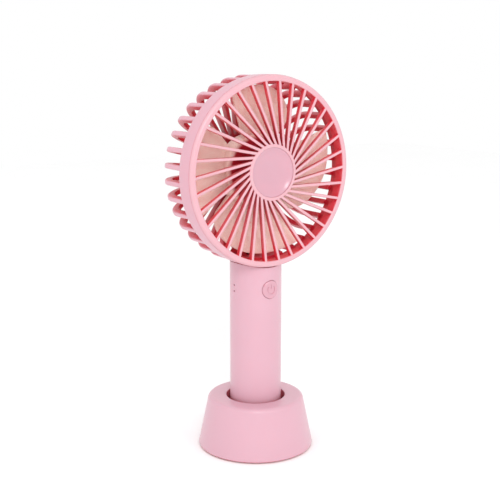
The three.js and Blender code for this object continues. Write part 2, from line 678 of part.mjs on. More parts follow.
// From a motor terminal down behind the motor, through the flange's notch, along the inside of the fins,
// and through the neck to the back of the board. In the head's frame.
function motorWire(side) {
  const x = side * MOTOR_WIRE_X;
  const behindMotor = END_CAP_REAR_Y + CLEARANCE + TERMINAL_THICKNESS / 2;
  const cornerR = FIN_OUTER_R - FIN_CORNER_R;
  const boardZ = BOARD_TOP_Z - 2.5 - HEAD_Z;
  return wire([
    [side * TERMINAL_X, behindMotor, -TERMINAL_Z - TERMINAL_LENGTH - CLEARANCE],
    [side * (TERMINAL_X - 2 * CLEARANCE), behindMotor, (-MOTOR_R * 2) / 3],
    [x * 1.4, behindMotor, -MOTOR_R],
    [x, behindMotor - WIRE_STANDOFF, -CUP_R - WIRE_STANDOFF],
    [x, WIRE_RUN_Y + 1.6, -CUP_R - 3 * WIRE_STANDOFF],
    [x, WIRE_RUN_Y, -CUP_FLANGE_R - 1.5],
    [x, WIRE_RUN_Y, -cornerR + 9],
    [x, WIRE_RUN_Y - 0.8, -cornerR + 1.5],
    [x, WIRE_RUN_Y - 3.8, -cornerR - 4.7],
    [x, NECK_HOLE_Y + 0.6, -FIN_OUTER_R + 3.1],
    [x, NECK_HOLE_Y, -FIN_OUTER_R - 0.4],
    [x, NECK_HOLE_Y, boardZ + 2.6],
    [x, BOARD_REAR_Y + 1.3, boardZ + 0.5],
    [x, BOARD_REAR_Y + CLEARANCE, boardZ],
  ], 28);
}

add(fan, "battery_cell", batteryCell(), 0x3f7f8c, 0.4);
add(fan, "battery_tab_negative", batteryTab(TAB_LOW_Z), STEEL, 0.35, 1);
add(fan, "battery_tab_positive", batteryTab(TAB_HIGH_Z), STEEL, 0.35, 1);
add(fan, "circuit_board", circuitBoard(), 0x1f6b3d, 0.5);
add(fan, "switch_body", switchBody(), BLACK, 0.5);
add(fan, "switch_plunger", switchPlunger(), BLACK, 0.5);
add(fan, "power_button", powerButton(), PINK, 0.45);
add(fan, "light_pipe", lightPipe(), 0xf4f4f4, 0.1);
lightHeights().forEach((z, i) => add(fan, `indicator_light_${i + 1}`, indicatorLight(z), 0xf2f0e4, 0.3));
add(fan, "charge_chip", onBoard(0, BOARD_Z + 5.5, 5, 4, 1.4, "front"), BLACK, 0.5);
add(fan, "power_inductor", onBoard(0, BOARD_Z + 4.5, 4.5, 4.5, 2.6, "rear"), 0x3a3a3c, 0.6);
add(fan, "port_shell", portShell(), STEEL, 0.3, 1);
add(fan, "port_tongue", portTongue(), BLACK, 0.5);
add(fan, "battery_wire_positive", batteryWire(-2, TAB_HIGH_Z), 0xb02a2a, 0.5);
add(fan, "battery_wire_negative", batteryWire(2, TAB_LOW_Z), BLACK, 0.5);
add(head, "motor_wire_positive", motorWire(1), 0xb02a2a, 0.5);
add(head, "motor_wire_negative", motorWire(-1), BLACK, 0.5);

// ---------- head, in its own frame: the origin is on the fan's axis ----------

function frontGrille() {
  const rim = solid(turnedY(closed([
    [OPENING_R, FRONT_Y],
    ...arc(GRILLE_RIM_R - GRILLE_EDGE_R, FRONT_Y + GRILLE_EDGE_R, GRILLE_EDGE_R, -90, 0, 2),
    [GRILLE_RIM_R, GRILLE_FLANGE_REAR_Y],
    [SKIRT_R, GRILLE_FLANGE_REAR_Y],
    [SKIRT_R, GRILLE_FLANGE_REAR_Y + GRILLE_SKIRT_DEPTH],
    [OPENING_R, GRILLE_FLANGE_REAR_Y + GRILLE_SKIRT_DEPTH],
  ]), FINE));
  const disc = solid(turnedY([
    [0, BADGE_SEAT_Y],
    [BADGE_R + CLEARANCE, BADGE_SEAT_Y],
    [BADGE_R + CLEARANCE, FRONT_Y],
    [HUB_DISC_R - HUB_DISC_CHAMFER, FRONT_Y],
    [HUB_DISC_R, FRONT_Y + HUB_DISC_CHAMFER],
    [HUB_DISC_R, FRONT_Y + HUB_DISC_DEPTH],
    [0, FRONT_Y + HUB_DISC_DEPTH],
  ], ROUND));
  const angles = Array.from({ length: BAR_COUNT }, (_, i) => BAR_PHASE + (360 * i) / BAR_COUNT);
  return join([rim, disc, ...angles.map((angle) => solid(grilleBar(angle)))]);
}

// A bar starts inside the hub disc's rim and ends inside the outer rim. The angle is its tangent point's.
function grilleBar(angle) {
  const alongAt = (r) => Math.sqrt(r ** 2 - BAR_TANGENT_R ** 2);
  const from = alongAt((BADGE_R + HUB_DISC_R) / 2);
  const to = alongAt(OPENING_R + GRILLE_SKIRT_WALL / 2);
  const low = [from, BAR_FRONT_Y, -BAR_TANGENT_R - BAR_WIDTH / 2];
  const high = [to, BAR_FRONT_Y + BAR_DEPTH, -BAR_TANGENT_R + BAR_WIDTH / 2];
  return turned(box(low, high), angle + 90);
}

// A dished disc pressed into the middle of the grille.
function centreBadge() {
  const chamfer = 0.4;
  const edge = BADGE_R - chamfer;
  const dish = [0, 0.35, 0.65, 0.9].map((t) => [t * edge, BAR_FRONT_Y + BADGE_DISH * (1 - t ** 2)]);
  const side = [[edge, BAR_FRONT_Y], [BADGE_R, BAR_FRONT_Y + chamfer]];
  const rear = BADGE_SEAT_Y - CLEARANCE;
  return turnedY([...dish, ...side, [BADGE_R, rear], [0, rear]], ROUND);
}

// The outline of one fin of the cage: out of the ring, round the corner and in to the flange.
function finOutline() {
  const x = FIN_OUTER_R - FIN_CORNER_R;
  const y = FIN_REAR_Y - FIN_CORNER_R;
  const side = FIN_CORNER_R - FIN_SIDE_DEPTH;
  const rear = FIN_CORNER_R - FIN_REAR_DEPTH;
  const start = RING_REAR_Y - FIN_ROOT;
  const end = CUP_FLANGE_R - OVERRUN;
  const inner = arc(0, 0, 1, 90, 0, 3).map(([c, s]) => [x + side * c, y + rear * s]);
  return [
    [x + side, start],
    [FIN_OUTER_R, start],
    ...arc(x, y, FIN_CORNER_R, 0, 90, 4),
    [end, FIN_REAR_Y],
    [end, FIN_REAR_Y - FIN_REAR_DEPTH],
    ...inner,
  ];
}

// One fin, thinner towards the middle of the cage.
function cageFin(angle) {
  const geometry = radialPlate(finOutline(), 1);
  const position = geometry.attributes.position;
  for (let i = 0; i < position.count; i += 1) {
    const t = (position.getX(i) - CUP_FLANGE_R) / (FIN_OUTER_R - CUP_FLANGE_R);
    position.setZ(i, position.getZ(i) * THREE.MathUtils.lerp(FIN_THICKNESS_INNER, FIN_THICKNESS_OUTER, t));
  }
  return turned(geometry, angle);
}

// The plate that closes the cage over the handle, and the hollow spigot that fits in the sleeve.
function neck() {
  const skin = solid(turnedY(closed(finOutline()), FINE));
  const top = -FIN_OUTER_R + FIN_CORNER_R;
  const footprint = solid(turnedZ(discProfile(HANDLE_R, -RING_R - OVERRUN, top), ROUND));
  const tube = solid(turnedZ(ringProfile(SPIGOT_BORE_R, INSERT_R, SPIGOT_Z - HEAD_Z, top), ROUND));
  const grilleCorner = [-HANDLE_R, -HANDLE_R - OVERRUN, -RING_R - CLEARANCE];
  const grilleRoom = box(grilleCorner, [HANDLE_R, RING_FRONT_Y, top]);
  const spigot = tube.subtract(solid(headEnvelope(-NECK_SKIN))).subtract(solid(grilleRoom));
  const holeBottom = -RING_R - 2 * OVERRUN;
  const hole = solid(rod(NECK_HOLE_R, [0, NECK_HOLE_Y, holeBottom], [0, NECK_HOLE_Y, top], SMALL));
  const screwHoles = chassisScrewHoles().map((cut) => cut.translate([0, 0, -HEAD_Z]));
  const screwZ = CHASSIS_SCREW_Z - HEAD_Z;
  const seats = [-1, 1].map((side) => {
    const seat = [side * (CHASSIS_SCREW_SEAT_X - CLEARANCE), CHASSIS_SCREW_Y, screwZ];
    return solid(rod(SCREW_HEAD_R + CLEARANCE, seat, [side * HANDLE_R, CHASSIS_SCREW_Y, screwZ], TINY));
  });
  return cutAll(skin.intersect(footprint).add(spigot), [hole, ...screwHoles, ...seats]);
}

// The cup that holds the motor, with the flange that the fins run in to.
function motorCup() {
  const flangeY = FIN_REAR_Y - FIN_REAR_DEPTH;
  const cup = solid(turnedY(closed([
    [CUP_HOLE_R, CUP_FRONT_Y],
    [CUP_R, CUP_FRONT_Y],
    [CUP_R, flangeY],
    [CUP_FLANGE_R, flangeY],
    [CUP_FLANGE_R, FIN_REAR_Y],
    [CUP_BORE_R, FIN_REAR_Y],
    [CUP_BORE_R, CUP_FRONT_Y + CUP_WALL],
    [CUP_HOLE_R, CUP_FRONT_Y + CUP_WALL],
  ]), ROUND));
  return cutAll(cup, motorScrewHoles());
}

function motorScrewHoles() {
  return [-1, 1].map((side) => {
    const x = side * MOTOR_SCREW_X;
    const mouth = [x, CUP_FRONT_Y - OVERRUN, 0];
    return solid(rod(SCREW_R + CLEARANCE, mouth, [x, CAN_INNER_Y + OVERRUN, 0], TINY));
  });
}

function rearCage() {
  const ring = solid(turnedY(closed([
    [RING_BORE_R, RING_FRONT_Y],
    [RING_R - RING_CHAMFER, RING_FRONT_Y],
    [RING_R, RING_FRONT_Y + RING_CHAMFER],
    [RING_R, RING_REAR_Y - FIN_INSET],
    [FIN_OUTER_R, RING_REAR_Y],
    [RING_BORE_R, RING_REAR_Y],
  ]), FINE));
  const angles = Array.from({ length: FIN_COUNT }, (_, i) => 270 + (360 * (i + 0.5)) / FIN_COUNT);
  const fins = angles.map((angle) => solid(cageFin(angle)));
  return cutAll(join([ring, motorCup(), wireWeb(), neck(), ...fins]), wireNotch());
}

// The strip between the two lowest fins, which hides the motor's wires.
function wireWeb() {
  const rear = FIN_REAR_Y - WIRE_WEB_SETBACK;
  const low = [-WIRE_WEB_WIDTH / 2, rear - WIRE_WEB_THICKNESS, -FIN_OUTER_R + FIN_CORNER_R];
  return solid(box(low, [WIRE_WEB_WIDTH / 2, rear, -CUP_FLANGE_R + WIRE_NOTCH_END]));
}

// The wires' way through the flange: a groove under its face, open at the back where it meets the motor.
function wireNotch() {
  const x = WIRE_NOTCH_WIDTH / 2;
  const inside = -CUP_BORE_R + OVERRUN;
  const grooveLow = [-x, WIRE_RUN_Y - WIRE_R - OVERRUN, -CUP_FLANGE_R - OVERRUN];
  const groove = box(grooveLow, [x, FIN_REAR_Y - WIRE_WEB_SETBACK, inside]);
  const throatLow = [-x, END_CAP_REAR_Y - OVERRUN, -CUP_FLANGE_R + WIRE_THROAT_HEIGHT];
  const throat = box(throatLow, [x, FIN_REAR_Y + OVERRUN, inside]);
  return [solid(groove), solid(throat)];
}

// A snap-in cover over the motor, hollowed for the terminals and wires.
function rearMotorCover() {
  const hollowR = CUP_BORE_R - OVERRUN;
  return turnedY([
    [0, COVER_Y + COVER_HOLLOW],
    [hollowR, COVER_Y + COVER_HOLLOW],
    [hollowR, COVER_Y],
    [COVER_R, COVER_Y],
    ...arc(COVER_R - COVER_EDGE_R, COVER_REAR_Y - COVER_CROWN - COVER_EDGE_R, COVER_EDGE_R, 0, 80, 3),
    [0, COVER_REAR_Y],
  ], ROUND);
}

add(head, "front_grille", frontGrille(), PINK, 0.45);
add(head, "centre_badge", centreBadge(), PINK, 0.4);
add(head, "rear_cage", rearCage(), PINK, 0.45);
add(head, "rear_motor_cover", rearMotorCover(), PINK, 0.45);

// ---------- motor ----------

function motorCan() {
  const hole = BUSH_R + CLEARANCE;
  return cutAll(solid(turnedY(closed([
    [hole, MOTOR_FRONT_Y],
    [MOTOR_R, MOTOR_FRONT_Y],
    [MOTOR_R, MOTOR_CAN_REAR_Y],
    [CAN_INNER_R, MOTOR_CAN_REAR_Y],
    [CAN_INNER_R, CAN_INNER_Y],
    [hole, CAN_INNER_Y],
  ]), SMALL)), motorScrewHoles());
}

function motorScrew(side) {
  const seat = CUP_FRONT_Y - CLEARANCE;
  const length = CAN_INNER_Y + MOTOR_SCREW_REACH - seat;
  return screw(length, SCREW_HEAD_HEIGHT).translate(side * MOTOR_SCREW_X, seat, 0);
}

function bush(y) {
  return turnedY(ringProfile(BORE_R, BUSH_R, y, y + BUSH_LENGTH), SMALL);
}

function magnet() {
  const rear = MOTOR_CAN_REAR_Y - MAGNET_END_GAP;
  return turnedY(ringProfile(MAGNET_INNER_R, MAGNET_OUTER_R, MAGNET_Y, rear), SMALL);
}

function brush(side) {
  const inner = COMMUTATOR_R + CLEARANCE;
  const low = [inner, COMMUTATOR_Y + CLEARANCE, -BRUSH_WIDTH / 2];
  const high = [inner + BRUSH_THICKNESS, MOTOR_CAN_REAR_Y, BRUSH_WIDTH / 2];
  return box(low, high).rotateY(side > 0 ? 0 : Math.PI);
}

function terminal(side) {
  const front = END_CAP_REAR_Y + CLEARANCE;
  const x = side * TERMINAL_X;
  const low = [x - TERMINAL_WIDTH / 2, front, -TERMINAL_Z - TERMINAL_LENGTH];
  return box(low, [x + TERMINAL_WIDTH / 2, front + TERMINAL_THICKNESS, -TERMINAL_Z]);
}

function motorEndCap() {
  return turnedY(ringProfile(BUSH_R + CLEARANCE, MOTOR_R, END_CAP_Y, END_CAP_REAR_Y), SMALL);
}

add(head, "motor_can", motorCan(), STEEL, 0.3, 1);
add(head, "motor_end_cap", motorEndCap(), 0xe8e4da, 0.6);
add(head, "motor_bush_front", bush(MOTOR_FRONT_Y - BUSH_PROUD), BRASS, 0.35, 1);
add(head, "motor_bush_rear", bush(END_CAP_Y), BRASS, 0.35, 1);
add(head, "motor_magnet", magnet(), 0x4a4a4e, 0.7);
for (const [side, word] of [[-1, "left"], [1, "right"]]) {
  add(head, `motor_screw_${word}`, motorScrew(side), STEEL, 0.3, 1);
  add(head, `motor_brush_${word}`, brush(side), COPPER, 0.4, 1);
  add(head, `motor_terminal_${word}`, terminal(side), BRASS, 0.35, 1);
}

// ---------- rotor and impeller ----------

function motorShaft() {
  const rear = END_CAP_Y + BUSH_LENGTH - CLEARANCE;
  return turnedY(discProfile(SHAFT_R, IMPELLER_BOSS_FRONT_Y + SHAFT_SETBACK, rear), SMALL);
}

function poleAngles() {
  return Array.from({ length: POLE_COUNT }, (_, i) => (360 * i) / POLE_COUNT);
}

// The curved shoe at the end of an arm, as an outline of the core's full length.
function poleShoe() {
  const outer = arc(0, 0, CORE_R, -SHOE_ANGLE, SHOE_ANGLE, 6);
  const inner = arc(0, 0, CORE_SHOE_R, SHOE_ANGLE, -SHOE_ANGLE, 6);
  const shape = new THREE.Shape([...outer, ...inner].map(([x, y]) => new THREE.Vector2(x, y)));
  const geometry = new THREE.ExtrudeGeometry(shape, { depth: CORE_LENGTH, bevelEnabled: false });
  return geometry.rotateX(Math.PI / 2).translate(0, CORE_Y + CORE_LENGTH, 0);
}

// The laminated core: three arms with curved pole shoes round a bored middle.
function armatureCore() {
  const rear = CORE_Y + CORE_LENGTH;
  const half = CORE_ARM_WIDTH / 2;
  const sink = SHOE_THICKNESS / 4;
  const middle = solid(turnedY(ringProfile(BORE_R, CORE_MIDDLE_R, CORE_Y, rear), SMALL));
  const poles = poleAngles().map((angle) => {
    const arm = box([CORE_MIDDLE_R - sink, CORE_Y, -half], [CORE_SHOE_R + sink, rear, half]);
    return solid(turned(arm, angle)).add(solid(turned(poleShoe(), angle)));
  });
  return join([middle, ...poles]);
}

// The wire wound round one arm, as a closed loop of its outer shape.
function armatureCoil(angle) {
  const half = CORE_ARM_WIDTH / 2 + CLEARANCE;
  const low = CORE_Y - CLEARANCE;
  const high = CORE_Y + CORE_LENGTH + CLEARANCE;
  const side = half + COIL_THICKNESS;
  const from = CORE_MIDDLE_R + 3 * CLEARANCE;
  const to = Math.sqrt((CORE_SHOE_R - CLEARANCE) ** 2 - side ** 2);
  const outside = solid(box([from, low - COIL_END_THICKNESS, -side], [to, high + COIL_END_THICKNESS, side]));
  const inside = solid(box([from - OVERRUN, low, -half], [to + OVERRUN, high, half]));
  return outside.subtract(inside).rotate([0, -angle, 0]);
}

function commutator() {
  return turnedY(ringProfile(BORE_R, COMMUTATOR_R, COMMUTATOR_Y, MOTOR_CAN_REAR_Y), SMALL);
}

// One blade: a helical surface between a swept, rounded rear edge and a radial front edge.
function impellerBlade(angle) {
  const rootR = IMPELLER_HUB_R - (IMPELLER_HUB_WALL * 3) / 4;
  const across = 5;
  const outward = 6;
  const vertices = [];
  for (const face of [-0.5, 0.5]) {
    for (let j = 0; j <= outward; j += 1) {
      const r = THREE.MathUtils.lerp(rootR, IMPELLER_TIP_R, Math.sin((Math.PI / 2) * (j / outward)));
      for (let i = 0; i <= across; i += 1) {
        const turn = THREE.MathUtils.lerp(bladeRearEdge(r), BLADE_FRONT_EDGE, i / across);
        const a = rad(turn + angle);
        vertices.push(r * Math.cos(a), bladeHeight(r, turn) + face * BLADE_THICKNESS, r * Math.sin(a));
      }
    }
  }
  const layer = (across + 1) * (outward + 1);
  const at = (i, j, k) => k * layer + j * (across + 1) + i;
  const faces = [];
  const quad = (a, b, c, d) => faces.push(a, b, c, a, c, d);
  for (let j = 0; j < outward; j += 1) {
    for (let i = 0; i < across; i += 1) {
      quad(at(i, j, 0), at(i, j + 1, 0), at(i + 1, j + 1, 0), at(i + 1, j, 0));
      quad(at(i, j, 1), at(i + 1, j, 1), at(i + 1, j + 1, 1), at(i, j + 1, 1));
    }
    quad(at(0, j, 0), at(0, j, 1), at(0, j + 1, 1), at(0, j + 1, 0));
    quad(at(across, j, 0), at(across, j + 1, 0), at(across, j + 1, 1), at(across, j, 1));
  }
  for (let i = 0; i < across; i += 1) {
    quad(at(i, 0, 0), at(i + 1, 0, 0), at(i + 1, 0, 1), at(i, 0, 1));
    quad(at(i, outward, 0), at(i, outward, 1), at(i + 1, outward, 1), at(i + 1, outward, 0));
  }
  const geometry = new THREE.BufferGeometry();
  geometry.setAttribute("position", new THREE.Float32BufferAttribute(vertices, 3));
  geometry.setIndex(faces);
  return geometry;
}

// The rear edge's angle at a radius: it sweeps round to the front edge near the tip.
function bladeRearEdge(r) {
  const t = THREE.MathUtils.clamp((r - BLADE_SWEEP_R) / (IMPELLER_TIP_R - BLADE_SWEEP_R), 0, 1);
  return BLADE_REAR_EDGE + BLADE_SWEEP * (1 - Math.sqrt(1 - t ** 2));
}

// How far back the blade's middle surface is, at a radius and an angle.
function bladeHeight(r, turn) {
  const out = (r - IMPELLER_HUB_R) / (IMPELLER_TIP_R - IMPELLER_HUB_R);
  const front = THREE.MathUtils.lerp(BLADE_ROOT_Y[0], BLADE_TIP_Y[0], out);
  const rear = THREE.MathUtils.lerp(BLADE_ROOT_Y[1], BLADE_TIP_Y[1], out);
  return THREE.MathUtils.lerp(front, rear, (BLADE_FRONT_EDGE - turn) / (BLADE_FRONT_EDGE - BLADE_REAR_EDGE));
}

function impeller() {
  const wallR = IMPELLER_HUB_R - IMPELLER_HUB_WALL;
  const bossRear = CUP_FRONT_Y - IMPELLER_BOSS_GAP;
  const faceRear = IMPELLER_HUB_FRONT_Y + IMPELLER_HUB_WALL;
  const edge = IMPELLER_HUB_EDGE_R;
  const hub = solid(turnedY(closed([
    [BORE_R, IMPELLER_BOSS_FRONT_Y],
    [IMPELLER_BOSS_R, IMPELLER_BOSS_FRONT_Y],
    [IMPELLER_BOSS_R, IMPELLER_HUB_FRONT_Y],
    ...arc(IMPELLER_HUB_R - edge, IMPELLER_HUB_FRONT_Y + edge, edge, -90, 0, 4),
    [IMPELLER_HUB_R, IMPELLER_HUB_REAR_Y],
    [wallR, IMPELLER_HUB_REAR_Y],
    [wallR, faceRear + edge],
    [wallR - edge, faceRear],
    [IMPELLER_BOSS_R, faceRear],
    [IMPELLER_BOSS_R, bossRear],
    [BORE_R, bossRear],
  ]), ROUND));
  const blades = Array.from({ length: BLADE_COUNT }, (_, i) => solid(impellerBlade((360 * i) / BLADE_COUNT)));
  return join([hub, ...blades]);
}

add(head, "motor_shaft", motorShaft(), STEEL, 0.2, 1);
add(head, "armature_core", armatureCore(), 0x8b8d90, 0.5, 1);
poleAngles().forEach((angle, i) => {
  add(head, `armature_coil_${i + 1}`, armatureCoil(angle), COPPER, 0.4, 1);
});
add(head, "commutator", commutator(), COPPER, 0.35, 1);
add(head, "impeller", impeller(), PEACH, 0.5);

export default fan;
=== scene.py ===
# A pink handheld fan in its small round stand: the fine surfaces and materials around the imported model.
# Sizes are in millimetres, and new_piece() turns them into metres.
import json
import math

import bmesh
import bpy
from mathutils import Matrix, Vector


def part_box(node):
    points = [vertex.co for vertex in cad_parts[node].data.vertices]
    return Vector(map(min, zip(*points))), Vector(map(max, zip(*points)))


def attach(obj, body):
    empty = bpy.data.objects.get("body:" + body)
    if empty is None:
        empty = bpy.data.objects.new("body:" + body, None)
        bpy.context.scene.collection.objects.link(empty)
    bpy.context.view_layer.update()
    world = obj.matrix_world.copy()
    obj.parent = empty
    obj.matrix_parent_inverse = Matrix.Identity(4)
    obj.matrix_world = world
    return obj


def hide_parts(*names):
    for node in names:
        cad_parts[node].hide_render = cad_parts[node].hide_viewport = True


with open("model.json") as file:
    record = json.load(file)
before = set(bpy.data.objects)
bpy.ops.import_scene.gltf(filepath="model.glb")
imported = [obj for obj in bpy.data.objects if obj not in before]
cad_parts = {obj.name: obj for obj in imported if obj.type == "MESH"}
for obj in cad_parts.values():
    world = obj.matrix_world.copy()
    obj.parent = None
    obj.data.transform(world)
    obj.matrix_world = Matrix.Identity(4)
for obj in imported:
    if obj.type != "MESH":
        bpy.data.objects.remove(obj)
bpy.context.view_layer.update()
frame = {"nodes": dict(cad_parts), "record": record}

MM = 0.001


def box_mm(node):
    low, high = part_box(node)
    return low / MM, high / MM


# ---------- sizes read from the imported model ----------

STAND_LOW, STAND_HIGH = box_mm("stand_shell")
PAD_LOW, PAD_HIGH = box_mm("stand_foot_pad")
PLATE_HIGH = box_mm("stand_base_plate")[1]
SLEEVE_LOW, SLEEVE_HIGH = box_mm("handle_sleeve")
CAP_LOW, CAP_HIGH = box_mm("handle_bottom_cap")
BUTTON_LOW, BUTTON_HIGH = box_mm("power_button")
PIPE_LOW, PIPE_HIGH = box_mm("light_pipe")
PORT_LOW, PORT_HIGH = box_mm("port_shell")
TONGUE_LOW, TONGUE_HIGH = box_mm("port_tongue")
GRILLE_LOW, GRILLE_HIGH = box_mm("front_grille")
BADGE_HIGH = box_mm("centre_badge")[1]
CAGE_LOW, CAGE_HIGH = box_mm("rear_cage")
COVER_LOW, COVER_HIGH = box_mm("rear_motor_cover")
IMPELLER_LOW, IMPELLER_HIGH = box_mm("impeller")
MOTOR_LOW, MOTOR_HIGH = box_mm("motor_can")
SCREW_LOW, SCREW_HIGH = box_mm("cap_screw")

HANDLE_R = SLEEVE_HIGH.x
BUTTON_Z = (BUTTON_LOW.z + BUTTON_HIGH.z) / 2
BUTTON_FLANGE_R = BUTTON_HIGH.x
HEAD_Z = (IMPELLER_LOW.z + IMPELLER_HIGH.z) / 2
RING_R = CAGE_HIGH.x
FRONT_Y = GRILLE_LOW.y
FIN_REAR_Y = CAGE_HIGH.y
BADGE_R = BADGE_HIGH.x
MOTOR_R = MOTOR_HIGH.x
TIP_R = IMPELLER_HIGH.x

# ---------- sizes of the fine surfaces ----------

GAP = 0.3  # between neighbouring pieces
SEAM = 0.03  # between pieces that look closed up
CUT_MARGIN = 1  # how far a cut runs on past what it cuts
TINY = 0.001  # keeps neighbouring points apart
SHARP_ANGLE = 38  # degrees: a blunter edge than this is shaded smooth
FINE = 144  # segments of a large round surface
MEDIUM = 72
SMALL = 40

SHARP_EDGE = 0.15  # radii of rounded edges, from sharp to broad
CRISP_EDGE = 0.2
FINE_EDGE = 0.3
MILD_EDGE = 0.4
SOFT_EDGE = 0.5
EASY_EDGE = 0.6
BROAD_EDGE = 0.8

STAND_TOP_R = 26.9
STAND_WALL = 2
STAND_EDGE_R = 2.6
STAND_INNER_EDGE_R = 1.5
STAND_FOOT_CHAMFER = 0.8
WELL_GAP = 2.2
WELL_FLOOR = 1.6
PAD_EDGE_R = 0.25
GROOVE_WIDTH = 1
GROOVE_DEPTH = 0.5
GROOVE_PLACES = (0.9, 0.8, 0.7)  # as shares of the foot pad's radius

HANDLE_WALL = 1.6
HEAD_GAP = 0.55  # the shadow line between the handle and the head
HEAD_REACH = 4  # how far the head's outside is carried on past its face
SLEEVE_END_EDGE_R = 0.35
CAP_PLUG_LENGTH = 2.5
CAP_EDGE_R = 1.4
SCREW_HEAD_HEIGHT = 1.2
SCREW_SHANK_R = 1
CROSS_REACH = 1.1  # from the screw's middle to the end of its cross recess
CROSS_HALF_WIDTH = 0.22
CROSS_DEPTH = 0.6

BUTTON_R = 5.1
BUTTON_SEAM = 0.15
BUTTON_EDGE_R = 0.55
BUTTON_DISH = 0.35
BUTTON_RIM = 0.5
BUTTON_FLANGE = 1
BUTTON_STEM_R = 1.6
BUTTON_DISH_STEPS = 10
MARK_R = 2.3
MARK_WIDTH = 0.6
MARK_DEPTH = 0.25
MARK_GAP_ANGLE = 40  # degrees to each side of the gap's middle
MARK_TAPER = 0.8  # the groove's floor, as a share of its width
MARK_BAR_ENDS = (0.25, 1.3)  # as shares of the ring's radius
MARK_RING_STEPS = 36
MARK_BAR_STEPS = 6

LIGHT_SPACING = 3.4
LIGHT_R = 0.55
LIGHT_DOME = 0.15
LIGHT_TIP_R = 0.15
LIGHT_SHOULDER_R = 0.4
LIGHT_SHOULDER = 0.3  # from the tip, as a share of the dome's height
BRIDGE_SETBACK = 1.5  # from the handle's bore in to the bridge between the lights
BRIDGE_THICKNESS = 1.2
BRIDGE_WIDTH = 0.9  # as a share of a light's width
PORT_SLOT_GAP = 0.8
PORT_WALL = 0.4
PORT_DEPTH = 6
CONTACT_COUNT = 5
CONTACT_INSET = 0.6
CONTACT_WIDTH = 0.35
CONTACT_RAISE = 0.04
CONTACT_SETBACK = 1  # from the tongue's root
CONTACT_END_GAP = 0.4

RIM_STEP = 0.1  # from the ring's side in to the grille's rim
RIM_FACE_EDGE_R = 1.5
RIM_INNER_EDGE_R = 0.7
RIM_SEAM_EDGE_R = 0.04
RIM_DEPTH = 1.7
RING_WALL = 2.2
RING_REAR_Y = -5
RING_SEAM_EDGE_R = 0.06
SKIRT_WALL = 1
BAR_COUNT = 34
BAR_TANGENT_R = 8.4
BAR_PHASE = 4.83  # degrees
BAR_WIDTH = 1.6
BAR_DEPTH = 2.8
BAR_SETBACK = 0.2
BAR_EDGE_R = 0.45
HUB_DISC_R = 15.3
HUB_DISC_DEPTH = 3.5
BADGE_DISH = 1.7
BADGE_DISH_POWER = 4  # above 2, the dish is flat in the middle and steep at its edge
BADGE_DISH_STEPS = 24
BADGE_LIP = 0.5

FIN_COUNT = 36
FIN_INSET = 0.2
FIN_CORNER_R = 12
FIN_CORNER_STEPS = 18
FIN_EDGE_SHARE = 0.62  # the outer edge's rounding, as a share of half the fin's thickness
FIN_OVERLAP = 1  # how far a fin runs into the flange
FIN_SIDE_DEPTH = 3.6
FIN_REAR_DEPTH = 4.4
FIN_THICKNESS_OUTER = 2.8
FIN_THICKNESS_INNER = 1.4
FIN_ROOT = 1.5
NECK_SPIGOT_WALL = 2.4
NECK_SKIN = 1.2
NECK_HOLE_R = 2.6
NECK_HOLE_Y = 5.3
NECK_HOLE_DEPTH = 8
WEB_WIDTH = 5.8
WEB_THICKNESS = 1.6
WEB_SETBACK = 0.2
WEB_OVERLAP = 0.5
NOTCH_WIDTH = 4.4
NOTCH_DEPTH = 8.9
THROAT_DEPTH = 2.4
THROAT_INSET = 2.5

CUP_GAP = 0.5
CUP_WALL = 1.6
CUP_HOLE_R = 4.2
CUP_FLANGE_WIDTH = 4.8
COVER_HOLLOW = 1.2
COVER_EDGE_R = 1.5
COVER_CROWN = 0.4
COVER_SHOULDER = 0.78  # where the crown begins, as a share of the cover's radius
COVER_SHOULDER_DROP = 0.4  # how far down the crown it is
COVER_SHOULDER_EDGE_R = 2
COVER_LIP = 1  # from the cup's bore in to the cover's hollow

BLADE_COUNT = 4
BLADE_THICKNESS = 1.3
BLADE_EDGE = 0.7  # width of a blade's rounded edge
BLADE_FRONT_EDGE = 28  # degrees
BLADE_REAR_EDGE = -46  # degrees
BLADE_SWEEP = 48  # degrees
BLADE_SWEEP_R = 30
BLADE_ROOT_Y = (-0.2, 7.2)  # at the front edge and at the rear edge
BLADE_TIP_Y = (-8.8, 4.6)
BLADE_EDGE_SHARE = 0.22  # a blade's thickness at its very edge, as a share of BLADE_THICKNESS
BLADE_TIP_INSET = 0.12
BLADE_ROOT_SHARE = 0.75  # how much of the hub's wall a blade runs into
BLADE_STEPS_ACROSS = 24
BLADE_STEPS_OUT = 30
IMPELLER_HUB_R = 19.5
IMPELLER_HUB_WALL = 1.6
IMPELLER_HUB_FRONT_Y = -2
IMPELLER_HUB_EDGE_R = 2.5
IMPELLER_HUB_INNER_EDGE_R = 2
IMPELLER_BOSS_R = 3.4
IMPELLER_BOSS_FRONT_Y = -4.5
IMPELLER_BOSS_GAP = 1.5  # in front of the motor's cup
SHAFT_BORE_R = 1.25

# ---------- colours of the painted shade, and where it turns from one to another ---

# painted shade: these colours are mixed into the plastic where it is sheltered, standing in for shade
SHADE_CRIMSON = (0.75, 0.02, 0.045)
SHADE_CARMINE = (0.64, 0.02, 0.045)
SHADE_MAROON = (0.40, 0.012, 0.025)
PAINTED_SHADE_R = 42  # where the painted shade between the bars has turned from maroon to its outer colour
HUB_SHADE_FADE = 2.5  # from the impeller's face, painted with maroon shade, out to its peach side
NOISE_MIDDLE = (0.3, 0.7)
SHELTER_SAMPLES = 6

# ---------- camera and floor ----------

CAMERA_PLACE = Vector((-0.2982, -0.4262, 0.2164))  # metres
CAMERA_HEADING = 34.63  # degrees from +Y towards +X
CAMERA_PITCH = 11.21  # degrees downwards
CAMERA_LENS = 68.4
CAMERA_SENSOR = 36
FLOOR_SIZE = 3.0  # metres
AIM_HEIGHT = 0.8  # where the lights point, as a share of the height of the fan's axis

# ---------- sizes worked out from those ----------

